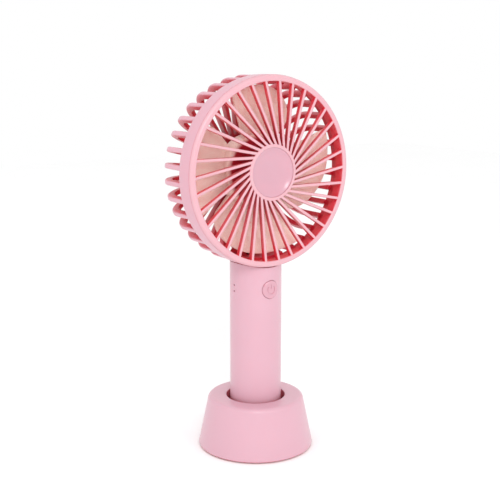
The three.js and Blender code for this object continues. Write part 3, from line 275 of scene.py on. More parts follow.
WELL_R = HANDLE_R + WELL_GAP
BORE_R = HANDLE_R - HANDLE_WALL
INSERT_R = BORE_R - GAP
RING_BORE_R = RING_R - RING_WALL
SKIRT_R = RING_BORE_R - GAP
OPENING_R = SKIRT_R - SKIRT_WALL
FIN_OUTER_R = RING_R - FIN_INSET
CUP_BORE_R = MOTOR_R + CUP_GAP
CUP_R = CUP_BORE_R + CUP_WALL
CUP_FRONT_Y = MOTOR_LOW.y - GAP - CUP_WALL
FLANGE_R = CUP_R + CUP_FLANGE_WIDTH
BAR_FRONT_Y = FRONT_Y + BAR_SETBACK
BUTTON_DISH_R = BUTTON_R - BUTTON_RIM - BUTTON_EDGE_R


def lerp(a, b, t):
    return a + (b - a) * t


# ---------- outlines ----------


def rounded(corners, steps=6):
    """The points of a closed outline. A corner is (x, y), or (x, y, radius) where it is rounded."""
    points = []
    for index, corner in enumerate(corners):
        here = Vector(corner[:2])
        if len(corner) == 2:
            points.append(here)
            continue
        radius = corner[2]
        back = (Vector(corners[index - 1][:2]) - here).normalized()
        ahead = (Vector(corners[(index + 1) % len(corners)][:2]) - here).normalized()
        half = back.angle(ahead) / 2
        centre = here + (back + ahead).normalized() * (radius / math.sin(half))
        reach = radius / math.tan(half)
        start = (here + back * reach - centre).normalized()
        end = (here + ahead * reach - centre).normalized()
        points += [centre + start.slerp(end, step / steps) * radius for step in range(steps + 1)]
    return points


def arc(centre, radius, start, end, steps):
    """Points on an arc, with its angles in degrees."""
    angles = [math.radians(lerp(start, end, step / steps)) for step in range(steps + 1)]
    return [Vector((centre[0] + radius * math.cos(a), centre[1] + radius * math.sin(a))) for a in angles]


# ---------- solids: each is a list of vertices and a list of faces ----------


def on_handle(radius, angle, along):
    """A point round the handle's axis; along is its height."""
    return Vector((radius * math.cos(angle), radius * math.sin(angle), along))


def on_head(radius, angle, along):
    """A point round the fan's axis; along is its distance behind the head's middle."""
    return Vector((radius * math.cos(angle), along, HEAD_Z + radius * math.sin(angle)))


def on_button(radius, angle, along):
    return Vector((radius * math.cos(angle), along, BUTTON_Z + radius * math.sin(angle)))


def lathe(profile, place, segments=FINE):
    """A closed profile of (radius, along) points turned about an axis. Points on the axis are shared."""
    vertices = []
    rings = []
    for radius, along in profile:
        count = 1 if radius < TINY else segments
        rings.append([len(vertices) + i for i in range(count)])
        vertices += [place(radius, math.tau * i / segments, along) for i in range(count)]
    faces = []
    for near, far in zip(rings, rings[1:] + rings[:1]):
        for i in range(segments):
            j = (i + 1) % segments
            corners = [near[i % len(near)], near[j % len(near)], far[j % len(far)], far[i % len(far)]]
            corners = list(dict.fromkeys(corners))
            if len(corners) > 2:
                faces.append(corners)
    return vertices, faces


def loft(loops):
    """A solid through loops of points, closed at both ends."""
    count = len(loops[0])
    vertices = [Vector(point) for loop in loops for point in loop]
    faces = [list(range(count)), list(range(len(vertices) - count, len(vertices)))]
    for start in range(0, len(vertices) - count, count):
        for i in range(count):
            j = (i + 1) % count
            faces.append([start + i, start + j, start + count + j, start + count + i])
    return vertices, faces


def block(low, high):
    corners = [(low[0], low[1]), (high[0], low[1]), (high[0], high[1]), (low[0], high[1])]
    return loft([[(x, y, z) for x, y in corners] for z in (low[2], high[2])])


def rod(radius, start, end, segments=SMALL):
    """A straight round rod between two points."""
    start, end = Vector(start), Vector(end)
    turn = (end - start).to_track_quat("Z", "X")
    circle = [turn @ on_handle(radius, math.tau * i / segments, 0) for i in range(segments)]
    return loft([[start + point for point in circle], [end + point for point in circle]])


def merged(solids):
    """Solids that don't touch, as one."""
    vertices, faces = [], []
    for more_vertices, more_faces in solids:
        start = len(vertices)
        vertices += more_vertices
        faces += [[start + i for i in face] for face in more_faces]
    return vertices, faces


def turned(solid, degrees):
    """A solid turned about the fan's axis, counter-clockwise as seen from the front."""
    vertices, faces = solid
    centre = Vector((0, 0, HEAD_Z))
    turn = Matrix.Rotation(-math.radians(degrees), 3, "Y")
    return [centre + turn @ (vertex - centre) for vertex in vertices], faces


# ---------- pieces ----------


def shade(piece):
    """Smooth shading, apart from sharp edges."""
    mesh = piece.data
    mesh.polygons.foreach_set("use_smooth", [True] * len(mesh.polygons))
    mesh.set_sharp_from_angle(angle=math.radians(SHARP_ANGLE))


def new_piece(name, solid):
    """An object made from a solid, in metres, with its faces pointing out."""
    vertices, faces = solid
    mesh = bpy.data.meshes.new(name)
    mesh.from_pydata([vertex * MM for vertex in vertices], [], faces)
    work = bmesh.new()
    work.from_mesh(mesh)
    bmesh.ops.recalc_face_normals(work, faces=work.faces)
    work.to_mesh(mesh)
    work.free()
    piece = bpy.data.objects.new(name, mesh)
    bpy.context.scene.collection.objects.link(piece)
    shade(piece)
    return piece


def combine(piece, solids, operation):
    """Joins solids to a piece, cuts them from it or keeps what it has in common with them."""
    tools = [new_piece("tool", solid) for solid in solids]
    for tool in tools:
        modifier = piece.modifiers.new("combine", "BOOLEAN")
        modifier.object = tool
        modifier.operation = operation
        modifier.solver = "MANIFOLD"
    bpy.context.view_layer.update()
    view = bpy.context.evaluated_depsgraph_get()
    mesh = bpy.data.meshes.new_from_object(piece.evaluated_get(view))
    piece.modifiers.clear()
    piece.data = mesh
    for tool in tools:
        bpy.data.objects.remove(tool)
    shade(piece)
    return piece


def finish_piece(piece, body, slot, *nodes, finish=None):
    """Puts a piece on its body, with a finish of its slot, in place of the CAD nodes named."""
    piece.data.materials.clear()
    piece.data.materials.append(MATERIALS[finish or slot])
    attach(piece, body)
    if nodes:
        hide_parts(*nodes)


# ---------- materials: lengths in them are in metres ----------


def scaled(colour, factor):
    """A colour made lighter or darker."""
    return tuple(min(1, channel * factor) for channel in colour)


class Look:
    """A material with one Principled shader, and short ways to add nodes to it."""

    def __init__(self, name, roughness, metallic=0.0):
        self.material = bpy.data.materials.new(name)
        self.material.use_nodes = True
        self.tree = self.material.node_tree
        self.shader = self.tree.nodes["Principled BSDF"]
        self.set(Roughness=roughness, Metallic=metallic)
        self.place = self.tree.nodes.new("ShaderNodeTexCoord").outputs["Object"]

    def set(self, **sockets):
        for name, value in sockets.items():
            self.shader.inputs[name.replace("_", " ")].default_value = value

    def link(self, output, socket):
        self.tree.links.new(output, socket)

    def noise(self, scale, detail=3.0, stretch=(1, 1, 1)):
        """A grey noise; scale is in features per metre, and stretch multiplies it along each axis."""
        mapping = self.tree.nodes.new("ShaderNodeMapping")
        mapping.inputs["Scale"].default_value = stretch
        noise = self.tree.nodes.new("ShaderNodeTexNoise")
        noise.inputs["Scale"].default_value = scale
        noise.inputs["Detail"].default_value = detail
        self.link(self.place, mapping.inputs["Vector"])
        self.link(mapping.outputs["Vector"], noise.inputs["Vector"])
        return noise.outputs["Fac"]

    def bands(self, scale, axis):
        wave = self.tree.nodes.new("ShaderNodeTexWave")
        wave.bands_direction = axis
        wave.inputs["Scale"].default_value = scale
        self.link(self.place, wave.inputs["Vector"])
        return wave.outputs["Fac"]

    def range(self, value, low, high, to_low, to_high):
        node = self.tree.nodes.new("ShaderNodeMapRange")
        limits = {"From Min": low, "From Max": high, "To Min": to_low, "To Max": to_high}
        for name, number in limits.items():
            node.inputs[name].default_value = number
        self.link(value, node.inputs["Value"])
        return node.outputs["Result"]

    def spread(self, noise, to_low, to_high):
        """Stretches the middle of a noise, where nearly all its values are, to a range."""
        return self.range(noise, *NOISE_MIDDLE, to_low, to_high)

    def mix(self, factor, first, second):
        """A colour mix; first and second are colours or node outputs."""
        node = self.tree.nodes.new("ShaderNodeMix")
        node.data_type = "RGBA"
        self.link(factor, node.inputs["Factor"])
        for value, socket in zip((first, second), (node.inputs[6], node.inputs[7])):
            if isinstance(value, bpy.types.NodeSocket):
                self.link(value, socket)
            else:
                socket.default_value = (*value, 1)
        return node.outputs[2]

    def times(self, first, second):
        node = self.tree.nodes.new("ShaderNodeMath")
        node.operation = "MULTIPLY"
        self.link(first, node.inputs[0])
        self.link(second, node.inputs[1])
        return node.outputs["Value"]

    def axis_distance(self):
        """The distance from the fan's axis, in metres."""
        flat = self.tree.nodes.new("ShaderNodeMapping")
        flat.inputs["Location"].default_value = (0, 0, -HEAD_Z * MM)
        flat.inputs["Scale"].default_value = (1, 0, 1)
        length = self.tree.nodes.new("ShaderNodeVectorMath")
        length.operation = "LENGTH"
        self.link(self.place, flat.inputs["Vector"])
        self.link(flat.outputs["Vector"], length.inputs[0])
        return length.outputs["Value"]

    def shelter(self, distance):
        """How open the surface is, from 0 in a crevice to 1. It masks the painted shade."""
        node = self.tree.nodes.new("ShaderNodeAmbientOcclusion")
        node.samples = SHELTER_SAMPLES
        node.inputs["Distance"].default_value = distance
        return node.outputs["AO"]

    def colour(self, output):
        self.link(output, self.shader.inputs["Base Color"])

    def roughness(self, output):
        self.link(output, self.shader.inputs["Roughness"])

    def bump(self, height, distance, strength=0.5):
        node = self.tree.nodes.new("ShaderNodeBump")
        node.inputs["Strength"].default_value = strength
        node.inputs["Distance"].default_value = distance
        self.link(height, node.inputs["Height"])
        self.link(node.outputs["Normal"], self.shader.inputs["Normal"])


def painted_shade_tint(look, outer):
    """The colour of the painted shade on sheltered plastic: maroon near the fan's axis, where least light
    comes in.
    """
    outward = look.range(look.axis_distance(), HUB_DISC_R * MM, PAINTED_SHADE_R * MM, 0, 1)
    return look.mix(outward, SHADE_MAROON, outer)


def plastic_with_painted_shade(name, colour, shade_colour, roughness, reach, sheltered, open_air, grain=0.2, coat=0.3):
    """Moulded plastic with a fine grain, and painted shade: a darker colour mixed in where it is
    sheltered.

    Reach is how far away something still shelters the surface. The painted shade is full where the
    openness is below sheltered, and gone above open_air.
    """
    look = Look(name, roughness)
    look.set(Subsurface_Weight=0.12, Subsurface_Radius=(1.0, 0.3, 0.3), Subsurface_Scale=0.002)
    look.set(Coat_Weight=coat, Coat_Roughness=0.22)
    cloudy = look.mix(look.noise(40), scaled(colour, 0.97), scaled(colour, 1.03))
    # painted shade: the shade colour is mixed in where the surface is sheltered
    openness = look.range(look.shelter(reach), sheltered, open_air, 0, 1)
    look.colour(look.mix(openness, painted_shade_tint(look, shade_colour), cloudy))
    look.roughness(look.spread(look.noise(500), roughness - 0.02, roughness + 0.03))
    look.bump(look.noise(3200, 2), 0.00005, grain)
    return look.material


def blade_plastic(name, colour):
    """The impeller's plastic: peach, with painted shade that is crimson where it is sheltered and maroon
    on the hub's face, where the least light comes in.
    """
    look = Look(name, 0.33)
    look.set(Subsurface_Weight=0.15, Subsurface_Radius=(1.0, 0.4, 0.35), Subsurface_Scale=0.003)
    look.set(Coat_Weight=0.2, Coat_Roughness=0.2)
    # painted shade: crimson in sheltered places, and maroon on the hub's face; clear is 0 inside face_r
    # and 1 beyond the hub's radius
    openness = look.range(look.shelter(0.03), 0.05, 0.35, 0, 1)
    face_r = IMPELLER_HUB_R - HUB_SHADE_FADE
    clear = look.range(look.axis_distance(), face_r * MM, IMPELLER_HUB_R * MM, 0, 1)
    cloudy = look.mix(look.noise(60), scaled(colour, 0.96), scaled(colour, 1.04))
    look.colour(look.mix(look.times(openness, clear), painted_shade_tint(look, SHADE_CRIMSON), cloudy))
    look.roughness(look.spread(look.noise(700), 0.28, 0.38))
    look.bump(look.noise(3600, 2), 0.00004, 0.2)
    return look.material


def plain_plastic(name, colour, roughness, grain=2500):
    look = Look(name, roughness)
    look.colour(look.mix(look.noise(150), scaled(colour, 0.9), colour))
    look.roughness(look.spread(look.noise(900), roughness - 0.06, roughness + 0.08))
    look.bump(look.noise(grain, 2), 0.00004, 0.4)
    return look.material


def metal(name, colour, roughness, stretch=(1, 1, 1), grain=1500):
    """Bare or plated metal with fine drawn or turned lines along the axes that stretch leaves low."""
    look = Look(name, roughness, 1.0)
    lines = look.noise(grain, 4, stretch)
    look.colour(look.mix(look.noise(120), scaled(colour, 0.82), colour))
    look.roughness(look.spread(lines, roughness - 0.08, roughness + 0.12))
    look.bump(lines, 0.00003, 0.4)
    return look.material


def banded(name, colour, groove, roughness, metallic, scale, axis):
    """A surface of fine ridges: wound wire, or stacked sheets. The groove colour is painted shade between
    turns of wire, and the dark joints between sheets.
    """
    look = Look(name, roughness, metallic)
    ridges = look.bands(scale, axis)
    look.colour(look.mix(ridges, groove, colour))
    look.roughness(look.spread(look.noise(800), roughness - 0.05, roughness + 0.1))
    look.bump(ridges, 0.0001, 0.7)
    return look.material


def solder_mask(name):
    """A green circuit board with paler copper tracks under the mask."""
    look = Look(name, 0.35)
    tracks = look.tree.nodes.new("ShaderNodeTexBrick")
    tracks.inputs["Scale"].default_value = 420
    tracks.inputs["Mortar Size"].default_value = 0.08
    look.link(look.place, tracks.inputs["Vector"])
    green = look.mix(look.noise(200), (0.006, 0.09, 0.03), (0.012, 0.13, 0.05))
    look.colour(look.mix(tracks.outputs["Fac"], green, (0.05, 0.26, 0.09)))
    look.bump(tracks.outputs["Fac"], 0.00004, 0.6)
    return look.material


def cell_wrap(name):
    """Shrink film with soft wrinkles round the cell."""
    look = Look(name, 0.25)
    wrinkles = look.noise(90, 2, (1, 1, 0.25))
    look.colour(look.mix(look.noise(60), (0.03, 0.16, 0.21), (0.045, 0.21, 0.27)))
    look.roughness(look.spread(wrinkles, 0.2, 0.35))
    look.bump(wrinkles, 0.0002, 0.4)
    return look.material


def clear_plastic(name):
    look = Look(name, 0.2)
    look.set(Transmission_Weight=0.15, IOR=1.49)
    look.colour(look.mix(look.noise(200), (0.62, 0.42, 0.48), (0.70, 0.50, 0.56)))
    look.bump(look.noise(600), 0.00003, 0.3)
    return look.material


def make_materials():
    pink = (0.655, 0.37, 0.445)
    cage_pink = (0.69, 0.365, 0.44)
    warm_pink = (0.70, 0.385, 0.435)
    badge_pink = (0.61, 0.31, 0.38)
    peach = (0.99, 0.78, 0.70)
    return {
        # each pink plastic below has painted shade, in its second colour, where it is sheltered
        "body_pink": plastic_with_painted_shade(
            "satin pink plastic", pink, SHADE_CARMINE, 0.42,
            reach=0.006, sheltered=0, open_air=0.4, coat=0.5,
        ),
        "cage_pink": plastic_with_painted_shade(
            "satin pink cage plastic", cage_pink, SHADE_CARMINE, 0.42,
            reach=0.06, sheltered=0.5, open_air=0.88,
        ),
        "grille_pink": plastic_with_painted_shade(
            "satin pink grille plastic", warm_pink, SHADE_CRIMSON, 0.36,
            reach=0.06, sheltered=0.5, open_air=0.85,
        ),
        "badge_pink": plastic_with_painted_shade(
            "smooth badge plastic", badge_pink, SHADE_CARMINE, 0.24,
            reach=0.003, sheltered=0, open_air=0.4, grain=0.04, coat=1,
        ),
        "blade_peach": blade_plastic("peach impeller plastic", peach),
        "inner_white": plain_plastic("white moulded plastic", (0.80, 0.78, 0.75), 0.5),
        "foot_rubber": plain_plastic("pale foot rubber", (0.58, 0.52, 0.53), 0.85, 1200),
        "screw_steel": metal("zinc plated screw steel", (0.60, 0.61, 0.63), 0.3),
        "motor_steel": metal("drawn motor steel", (0.58, 0.59, 0.61), 0.28, (1, 8, 1)),
        "nickel": metal("rolled nickel", (0.62, 0.60, 0.56), 0.3, (6, 1, 1)),
        "bronze": metal("sintered bronze", (0.50, 0.33, 0.14), 0.4, grain=2600),
        "copper": metal("bare copper", (0.60, 0.26, 0.13), 0.32),
        "enamel_copper": banded(
            "enamelled copper winding", (0.42, 0.10, 0.035), (0.10, 0.02, 0.01), 0.3, 0.6, 900, "Y",
        ),
        "ferrite": plain_plastic("pressed ferrite", (0.06, 0.06, 0.066), 0.7, 1500),
        "core_steel": banded(
            "laminated core steel", (0.34, 0.35, 0.37), (0.08, 0.08, 0.09), 0.45, 1.0, 600, "Y",
        ),
        "cell_wrap": cell_wrap("teal cell film"),
        "board_green": solder_mask("green circuit board"),
        "black_plastic": plain_plastic("black moulded plastic", (0.012, 0.012, 0.013), 0.45),
        "clear_plastic": clear_plastic("clear moulded plastic"),
        "led_lens": plain_plastic("light lens", (0.80, 0.77, 0.66), 0.3),
        "wire_red": plain_plastic("red wire insulation", (0.40, 0.012, 0.012), 0.4),
        "wire_black": plain_plastic("black wire insulation", (0.01, 0.01, 0.01), 0.4),
    }


MATERIALS = make_materials()


def dress_cad_nodes():
    """Gives every CAD node the material of its slot."""
    for part in frame["record"]["subparts"]:
        mesh = frame["nodes"][part["node"]].data
        mesh.materials.clear()
        mesh.materials.append(MATERIALS[part["material_slot"]])


# ---------- stand ----------


def stand_shell():
    """The stand's leaning wall, its flat top and the well that the handle stands in."""
    height = STAND_HIGH.z
    foot = STAND_LOW.z
    lean = (STAND_HIGH.x - STAND_TOP_R) / (height - foot - STAND_FOOT_CHAMFER)
    ceiling = height - STAND_WALL
    well_bottom = PLATE_HIGH.z + GAP
    well_floor = well_bottom + WELL_FLOOR

    def wall_r(z):
        return STAND_TOP_R + lean * (height - z)

    outline = rounded([
        (0, well_bottom),
        (WELL_R + STAND_WALL, well_bottom, MILD_EDGE),
        (WELL_R + STAND_WALL, ceiling, BROAD_EDGE),
        (wall_r(ceiling) - STAND_WALL, ceiling, STAND_INNER_EDGE_R),
        (wall_r(foot) - STAND_WALL, foot, FINE_EDGE),
        (wall_r(foot), foot, STAND_FOOT_CHAMFER),
        (STAND_TOP_R, height, STAND_EDGE_R),
        (WELL_R, height, SOFT_EDGE),
        (WELL_R, well_floor, BROAD_EDGE),
        (0, well_floor),
    ], steps=8)
    return new_piece("stand_shell_fine", lathe(outline, on_handle))


def foot_pad():
    """The rubber ring under the stand, with grooves round its underside."""
    pad_r = PAD_HIGH.x
    low, high = PAD_LOW.z, PAD_HIGH.z
    grooves = []
    for place in GROOVE_PLACES:
        outer_r = pad_r * place - GROOVE_WIDTH
        inner_r = outer_r - GROOVE_WIDTH
        grooves += [(outer_r, low), (outer_r, low + GROOVE_DEPTH)]
        grooves += [(inner_r, low + GROOVE_DEPTH), (inner_r, low)]
    edge = [(0, high), (pad_r, high, PAD_EDGE_R), (pad_r, low, FINE_EDGE)]
    outline = rounded([*edge, *grooves, (0, low)], steps=4)
    return new_piece("stand_foot_pad_fine", lathe(outline, on_handle))


def make_stand():
    finish_piece(stand_shell(), "stand", "body_pink", "stand_shell")
    finish_piece(foot_pad(), "stand", "foot_rubber", "stand_foot_pad")


# ---------- handle ----------


def head_envelope(grow):
    """The head's outer surface, grown, and carried on past its face so that it cuts the whole handle."""
    front = FRONT_Y - HEAD_REACH
    rear = FIN_REAR_Y + grow
    side = RING_R + grow
    corners = [(0, front), (side, front), (side, rear, FIN_CORNER_R + grow), (0, rear)]
    return lathe(rounded(corners, steps=24), on_head)


def slot_block(width, height, from_y, to_y):
    """A block with round ends, along Y, at the height of the charging port."""
    x = width / 2
    z = height / 2
    round_end = z - TINY
    corners = [(-x, -z), (x, -z), (x, z), (-x, z)]
    outline = rounded([(*corner, round_end) for corner in corners], steps=8)
    return loft([[(px, y, BUTTON_Z + pz) for px, pz in outline] for y in (from_y, to_y)])


def light_heights():
    return [BUTTON_Z - LIGHT_SPACING / 2, BUTTON_Z + LIGHT_SPACING / 2]


def handle_sleeve():
    """The handle's tube, cut to the head's curve, with holes for the button, the lights and the port."""
    low = SLEEVE_LOW.z
    tube = rounded([
        (BORE_R, low, CRISP_EDGE),
        (HANDLE_R, low, SLEEVE_END_EDGE_R),
        (HANDLE_R, HEAD_Z),
        (BORE_R, HEAD_Z),
    ])
    piece = new_piece("handle_sleeve_fine", lathe(tube, on_handle))
    outside = HANDLE_R + CUT_MARGIN
    button_hole = rod(BUTTON_R + BUTTON_SEAM, (0, -outside, BUTTON_Z), (0, 0, BUTTON_Z), MEDIUM)
    width = PORT_HIGH.x - PORT_LOW.x + 2 * PORT_SLOT_GAP
    height = PORT_HIGH.z - PORT_LOW.z + 2 * PORT_SLOT_GAP
    holes = [button_hole, slot_block(width, height, CUT_MARGIN, outside)]
    inside = BORE_R - CUT_MARGIN
    holes += [rod(LIGHT_R + SEAM, (-outside, 0, z), (-inside, 0, z)) for z in light_heights()]
    return combine(piece, [merged(holes), head_envelope(HEAD_GAP)], "DIFFERENCE")


def bottom_cap():
    """The cap that plugs the handle's lower end, with a counterbore for its screw."""
    plug_top = CAP_HIGH.z
    collar = plug_top - CAP_PLUG_LENGTH
    seat = CAP_LOW.z + SCREW_HEAD_HEIGHT + 2 * GAP
    counterbore_r = SCREW_HIGH.x + GAP
    hole_r = SCREW_SHANK_R + GAP
    outline = rounded([
        (hole_r, seat),
        (counterbore_r, seat),
        (counterbore_r, CAP_LOW.z, FINE_EDGE),
        (HANDLE_R, CAP_LOW.z, CAP_EDGE_R),
        (HANDLE_R, collar, FINE_EDGE),
        (INSERT_R, collar),
        (INSERT_R, plug_top, MILD_EDGE),
        (hole_r, plug_top),
    ])
    return new_piece("handle_bottom_cap_fine", lathe(outline, on_handle))


def cap_screw():
    """The screw in the bottom cap, head down, with a cross recess."""
    low = SCREW_LOW.z
    seat = low + SCREW_HEAD_HEIGHT
    outline = rounded([
        (0, low),
        (SCREW_HIGH.x, low, EASY_EDGE),
        (SCREW_HIGH.x, seat),
        (SCREW_SHANK_R, seat),
        (SCREW_SHANK_R, SCREW_HIGH.z, FINE_EDGE),
        (0, SCREW_HIGH.z),
    ])
    piece = new_piece("cap_screw_fine", lathe(outline, on_handle, SMALL))
    cross = []
    for x, y in ((CROSS_REACH, CROSS_HALF_WIDTH), (CROSS_HALF_WIDTH, CROSS_REACH)):
        cross.append(block((-x, -y, low - CUT_MARGIN), (x, y, low + CROSS_DEPTH)))
    return combine(piece, cross, "DIFFERENCE")


def make_handle():
    finish_piece(handle_sleeve(), "fan", "body_pink", "handle_sleeve")
    finish_piece(bottom_cap(), "fan", "body_pink", "handle_bottom_cap")
    finish_piece(cap_screw(), "fan", "screw_steel", "cap_screw")


# ---------- button, lights and port ----------


def wrapped(solid):
    """Bends a solid that was made flat against the handle's front, so that it follows the handle."""
    vertices, faces = solid
    bent = []
    for vertex in vertices:
        fall = HANDLE_R - math.sqrt(HANDLE_R**2 - vertex.x**2)
        bent.append(vertex + Vector((0, fall if vertex.y < -BORE_R else 0, 0)))
    return bent, faces


def button_face_y(radius):
    """The dished face's place on Y, before it is bent round the handle."""
    return BUTTON_LOW.y + BUTTON_DISH * max(0, 1 - (radius / BUTTON_DISH_R) ** 2)


def power_button():
    """The dished button, the flange that keeps it in and the stem that presses the switch."""
    radii = [BUTTON_DISH_R * i / BUTTON_DISH_STEPS for i in range(BUTTON_DISH_STEPS + 1)]
    dish = [(radius, button_face_y(radius)) for radius in radii]
    flange_front = -math.sqrt(BORE_R**2 - BUTTON_FLANGE_R**2) + GAP
    flange_rear = flange_front + BUTTON_FLANGE
    outline = rounded([
        *dish,
        (BUTTON_R, BUTTON_LOW.y, BUTTON_EDGE_R),
        (BUTTON_R, flange_front),
        (BUTTON_FLANGE_R, flange_front),
        (BUTTON_FLANGE_R, flange_rear),
        (BUTTON_STEM_R, flange_rear),
        (BUTTON_STEM_R, BUTTON_HIGH.y),
        (0, BUTTON_HIGH.y),
    ], steps=5)
    piece = new_piece("power_button_fine", wrapped(lathe(outline, on_button, MEDIUM)))
    return combine(piece, [power_mark()], "DIFFERENCE")


def mark_section(middle, across):
    """The groove of the button's sign, cut across at a point of the face."""
    half = MARK_WIDTH / 2
    floor = half * MARK_TAPER
    sides = ((-half, -CUT_MARGIN), (half, -CUT_MARGIN), (floor, MARK_DEPTH), (-floor, MARK_DEPTH))
    loop = []
    for side, depth in sides:
        point = middle + across * side
        loop.append((point.x, button_face_y(point.length) + depth, BUTTON_Z + point.y))
    return loop


def power_mark():
    """Cuts the usual on and off sign: a ring with a gap at the top, and an upright bar in the gap."""
    ring = []
    for i in range(MARK_RING_STEPS + 1):
        angle = math.radians(90 + lerp(MARK_GAP_ANGLE, 360 - MARK_GAP_ANGLE, i / MARK_RING_STEPS))
        outward = Vector((math.cos(angle), math.sin(angle)))
        ring.append(mark_section(outward * MARK_R, outward))
    bar = []
    for i in range(MARK_BAR_STEPS + 1):
        height = MARK_R * lerp(*MARK_BAR_ENDS, i / MARK_BAR_STEPS)
        bar.append(mark_section(Vector((0, height)), Vector((1, 0))))
    return wrapped(merged([loft(ring), loft(bar)]))


def light_pipe():
    """Two domed prongs that show on the handle's side, and a bridge that joins them inside it."""
    tip = PIPE_LOW.x
    stations = (
        (tip, LIGHT_TIP_R),
        (tip + LIGHT_DOME * LIGHT_SHOULDER, LIGHT_SHOULDER_R),
        (tip + LIGHT_DOME, LIGHT_R),
        (PIPE_HIGH.x, LIGHT_R),
    )
    circle = [math.tau * i / SMALL for i in range(SMALL)]
    prongs = []
    for z in light_heights():
        loops = [[(x, r * math.cos(a), z + r * math.sin(a)) for a in circle] for x, r in stations]
        prongs.append(loft(loops))
    bridge_x = -BORE_R + BRIDGE_SETBACK
    half = LIGHT_R * BRIDGE_WIDTH
    low, high = light_heights()
    bridge = block((bridge_x, -half, low), (bridge_x + BRIDGE_THICKNESS, half, high))
    return combine(new_piece("light_pipe_fine", merged(prongs)), [bridge], "UNION")


def port_shell():
    """The charging port's metal shell, open to the back."""
    width = PORT_HIGH.x - PORT_LOW.x
    height = PORT_HIGH.z - PORT_LOW.z
    piece = new_piece("port_shell_fine", slot_block(width, height, PORT_LOW.y, PORT_HIGH.y))
    floor = PORT_HIGH.y - PORT_DEPTH
    rear = PORT_HIGH.y + CUT_MARGIN
    inside = slot_block(width - 2 * PORT_WALL, height - 2 * PORT_WALL, floor, rear)
    return combine(piece, [inside], "DIFFERENCE")


def port_contacts():
    """The flat contacts on both faces of the port's tongue."""
    left = TONGUE_LOW.x + CONTACT_INSET
    right = TONGUE_HIGH.x - CONTACT_INSET
    root = TONGUE_LOW.y + CONTACT_SETBACK
    end = TONGUE_HIGH.y - CONTACT_END_GAP
    half = CONTACT_WIDTH / 2
    contacts = []
    for i in range(CONTACT_COUNT):
        x = lerp(left, right, i / (CONTACT_COUNT - 1))
        for z in (TONGUE_LOW.z, TONGUE_HIGH.z):
            low = (x - half, root, z - CONTACT_RAISE)
            contacts.append(block(low, (x + half, end, z + CONTACT_RAISE)))
    return new_piece("port_contacts", merged(contacts))


def make_controls():
    finish_piece(power_button(), "button", "grille_pink", "power_button", finish="badge_pink")
    finish_piece(light_pipe(), "fan", "clear_plastic", "light_pipe")
    finish_piece(port_shell(), "fan", "nickel", "port_shell")
    finish_piece(port_contacts(), "fan", "bronze")


# ---------- front grille ----------


def grille_rim():
    """The flat face ring, and the skirt that goes into the cage."""
    rim_r = RING_R - RIM_STEP
    flange_rear = FRONT_Y + RIM_DEPTH
    return lathe(rounded([
        (OPENING_R, FRONT_Y, RIM_INNER_EDGE_R),
        (rim_r, FRONT_Y, RIM_FACE_EDGE_R),
        (rim_r, flange_rear, RIM_SEAM_EDGE_R),
        (SKIRT_R, flange_rear),
        (SKIRT_R, GRILLE_HIGH.y),
        (OPENING_R, GRILLE_HIGH.y, FINE_EDGE),
    ]), on_head)


def hub_disc():
    """The disc that the bars meet, with a socket for the badge."""
    seat = BADGE_HIGH.y + GAP
    socket_r = BADGE_R + SEAM
    rear = FRONT_Y + HUB_DISC_DEPTH
    return lathe(rounded([
        (0, seat),
        (socket_r, seat),
        (socket_r, FRONT_Y, SHARP_EDGE),
        (HUB_DISC_R, FRONT_Y, EASY_EDGE),
        (HUB_DISC_R, rear, SOFT_EDGE),
        (0, rear),
    ]), on_head)


def grille_bar(angle):
    """A straight bar that would touch a circle round the fan's axis, from the hub disc to the rim."""
    left = -BAR_TANGENT_R - BAR_WIDTH / 2
    right = left + BAR_WIDTH
    rear = BAR_FRONT_Y + BAR_DEPTH
    outline = rounded([
        (BAR_FRONT_Y, left, BAR_EDGE_R),
        (BAR_FRONT_Y, right, BAR_EDGE_R),
        (rear, right, FINE_EDGE),
        (rear, left, FINE_EDGE),
    ], steps=4)
    end_radii = ((BADGE_R + HUB_DISC_R) / 2, OPENING_R + SKIRT_WALL / 2)
    ends = [math.sqrt(radius**2 - BAR_TANGENT_R**2) for radius in end_radii]
    return turned(loft([[(x, y, HEAD_Z + z) for y, z in outline] for x in ends]), angle + 90)


def front_grille():
    piece = new_piece("front_grille_fine", merged([grille_rim(), hub_disc()]))
    bars = [grille_bar(BAR_PHASE + 360 * i / BAR_COUNT) for i in range(BAR_COUNT)]
    return combine(piece, [merged(bars)], "UNION")


def centre_badge():
    """The plain badge, with a dished face."""
    edge = BADGE_R - BADGE_LIP
    dish = []
    for i in range(BADGE_DISH_STEPS + 1):
        share = i / BADGE_DISH_STEPS
        dish.append((edge * share, BAR_FRONT_Y + BADGE_DISH * (1 - share**BADGE_DISH_POWER)))
    outline = rounded([
        *dish,
        (BADGE_R, BAR_FRONT_Y, SHARP_EDGE),
        (BADGE_R, BADGE_HIGH.y),
        (0, BADGE_HIGH.y),
    ], steps=5)
    return new_piece("centre_badge_fine", lathe(outline, on_head))


# ---------- rear cage ----------


def fin_path():
    """The fin's outer edge: (radius, y), the inward direction and the fin's depth there."""
    corner = (FIN_OUTER_R - FIN_CORNER_R, FIN_REAR_Y - FIN_CORNER_R)
    stations = [((FIN_OUTER_R, RING_REAR_Y - FIN_ROOT), (-1, 0), FIN_SIDE_DEPTH)]
    for point in arc(corner, FIN_CORNER_R, 0, 90, FIN_CORNER_STEPS):
        out = (point - Vector(corner)).normalized()
        stations.append((point, -out, lerp(FIN_SIDE_DEPTH, FIN_REAR_DEPTH, abs(out.y))))
    stations.append(((FLANGE_R - FIN_OVERLAP, FIN_REAR_Y), (0, -1), FIN_REAR_DEPTH))
    return [(Vector(point), Vector(inward), depth) for point, inward, depth in stations]


def fin_half_thickness(radius):
    t = (radius - FLANGE_R) / (FIN_OUTER_R - FLANGE_R)
    return lerp(FIN_THICKNESS_INNER, FIN_THICKNESS_OUTER, t) / 2


